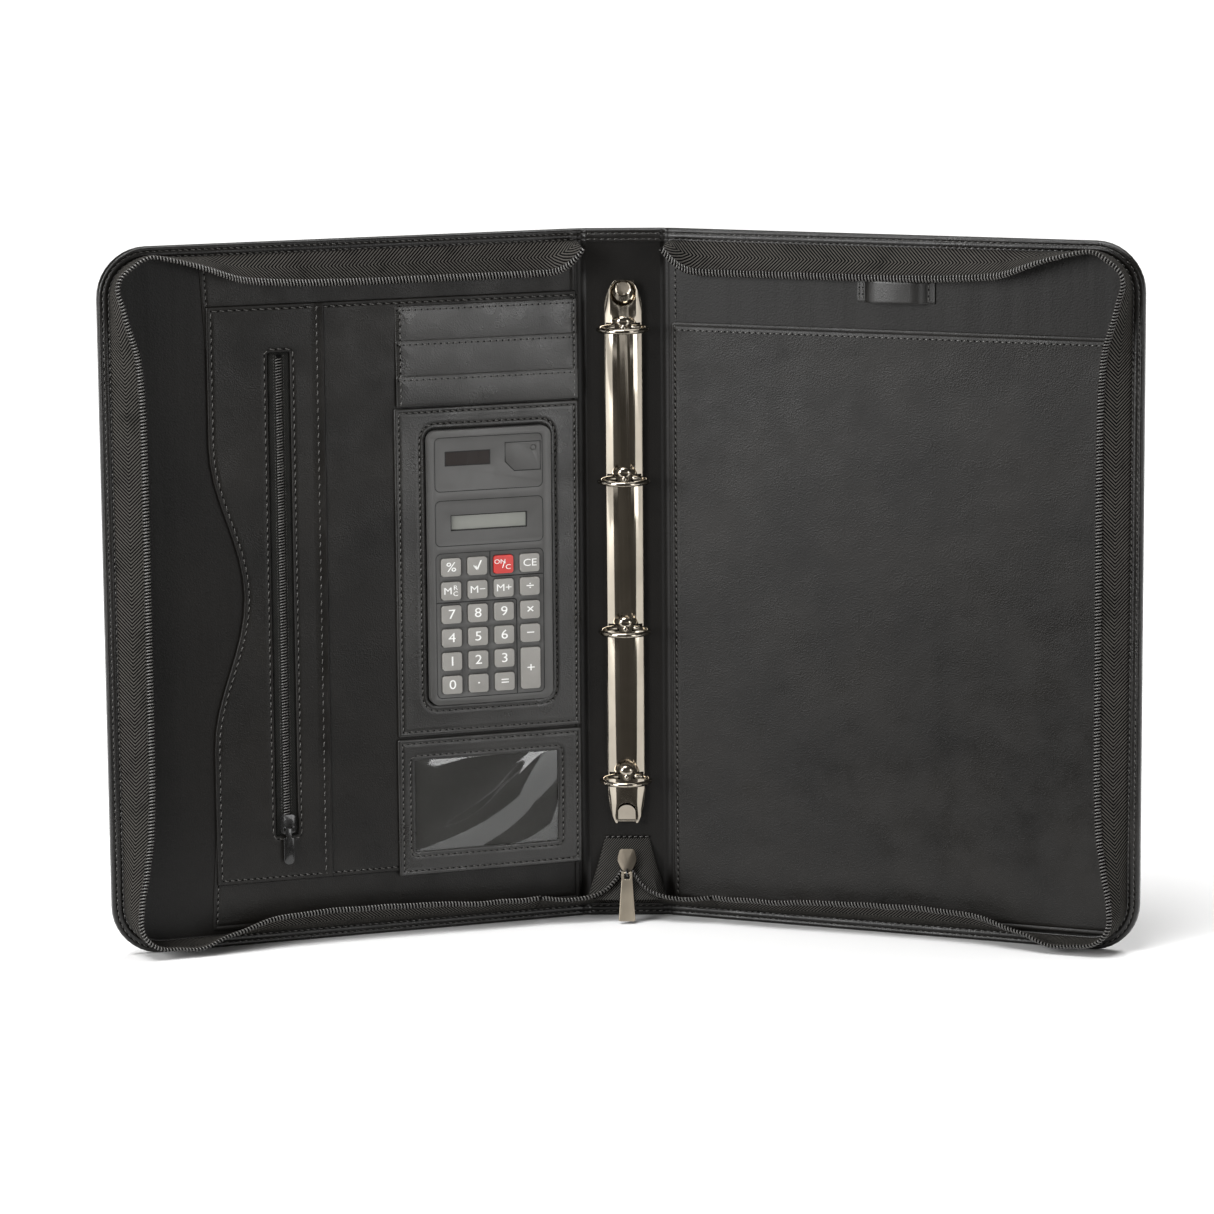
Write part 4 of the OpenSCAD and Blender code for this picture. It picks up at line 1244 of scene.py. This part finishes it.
def stage_sheet(name, corners, paint_name, colour, rough):
    """A flat painted sheet that isn't part of the object."""
    mesh = bpy.data.meshes.new(name)
    mesh.from_pydata(corners, [], [(0, 1, 2, 3)])
    sheet = bpy.data.objects.new(name, mesh)
    bpy.context.scene.collection.objects.link(sheet)
    paint = bpy.data.materials.new(paint_name)
    paint.use_nodes = True
    shader = paint.node_tree.nodes["Principled BSDF"]
    shader.inputs["Base Color"].default_value = (*colour, 1)
    shader.inputs["Roughness"].default_value = rough
    mesh.materials.append(paint)
    return sheet


def add_floor():
    corners = [(-40, -40, 0), (40, -40, 0), (40, 40, 0), (-40, 40, 0)]
    stage_sheet("floor", corners, "pale_floor", (0.87, 0.87, 0.87), 0.9)


def add_flag():
    """A dark card on the floor before the case. Hidden from the camera, from shadows and from diffuse
    light, it shows only in reflections."""
    corners = [(-0.1, -0.16, 0.002), (0.1, -0.16, 0.002), (9, -12, 0.002), (-9, -12, 0.002)]
    flag = stage_sheet("black_flag", corners, "flag_black", (0.02, 0.017, 0.013), 1)
    flag.visible_camera = flag.visible_shadow = flag.visible_diffuse = False


def add_light(name, kind, energy, spot, aim, size=1.0, size_y=None):
    light = bpy.data.lights.new(name, kind)
    light.energy = energy
    if kind == "AREA":
        light.shape = "RECTANGLE"
        light.size = size
        light.size_y = size_y or size
    if kind == "SUN":
        light.angle = math.radians(size)
    obj = bpy.data.objects.new(name, light)
    bpy.context.scene.collection.objects.link(obj)
    obj.location = spot
    obj.visible_camera = False
    obj.rotation_euler = (Vector(aim) - Vector(spot)).to_track_quat("-Z", "Y").to_euler()


def add_lights():
    world = bpy.data.worlds.new("studio")
    bpy.context.scene.world = world
    world.use_nodes = True
    world.node_tree.nodes["Background"].inputs[0].default_value = (1, 0.96, 0.9, 1)
    world.node_tree.nodes["Background"].inputs[1].default_value = 0.1
    add_light("key_sun", "SUN", 2.4, (-0.7, -0.9, 2.6), (0, 0, 0), 30)
    add_light("fill_sun", "SUN", 2.0, (0.6, 0.9, 2.6), (0, 0, 0), 50)
    add_light("left_softbox", "AREA", 46, (-1.6, -1.6, 0.9), (0.1, 0, 0.2), 0.9, 1.2)
    add_light("right_softbox", "AREA", 8, (1.45, -1.85, 0.48), (-0.1, 0, 0.15), 0.7, 0.9)
    bpy.context.scene.view_settings.view_transform = "Standard"


def main():
    add_camera()
    add_floor()
    add_flag()
    add_lights()
    for side in ("left", "right"):
        cover_skin(side)
        zip_tape(side)
        zip_crossing(side)
    spine_skin()
    hinges()
    zip_end()
    left_pockets()
    card_slots()
    calculator_frame()
    id_window()
    calculator()
    keys()
    right_pockets()
    ring_mechanism()
    zip_slider()
    for node in ("left_lining", "right_lining", "spine_lining"):
        carry(node, "lining")
    for node in ("left_board", "right_board", "spine_board"):
        carry(node, "board")
    for side, seams in SEAMS.items():
        seams.finish(side + "_stitching")


main()
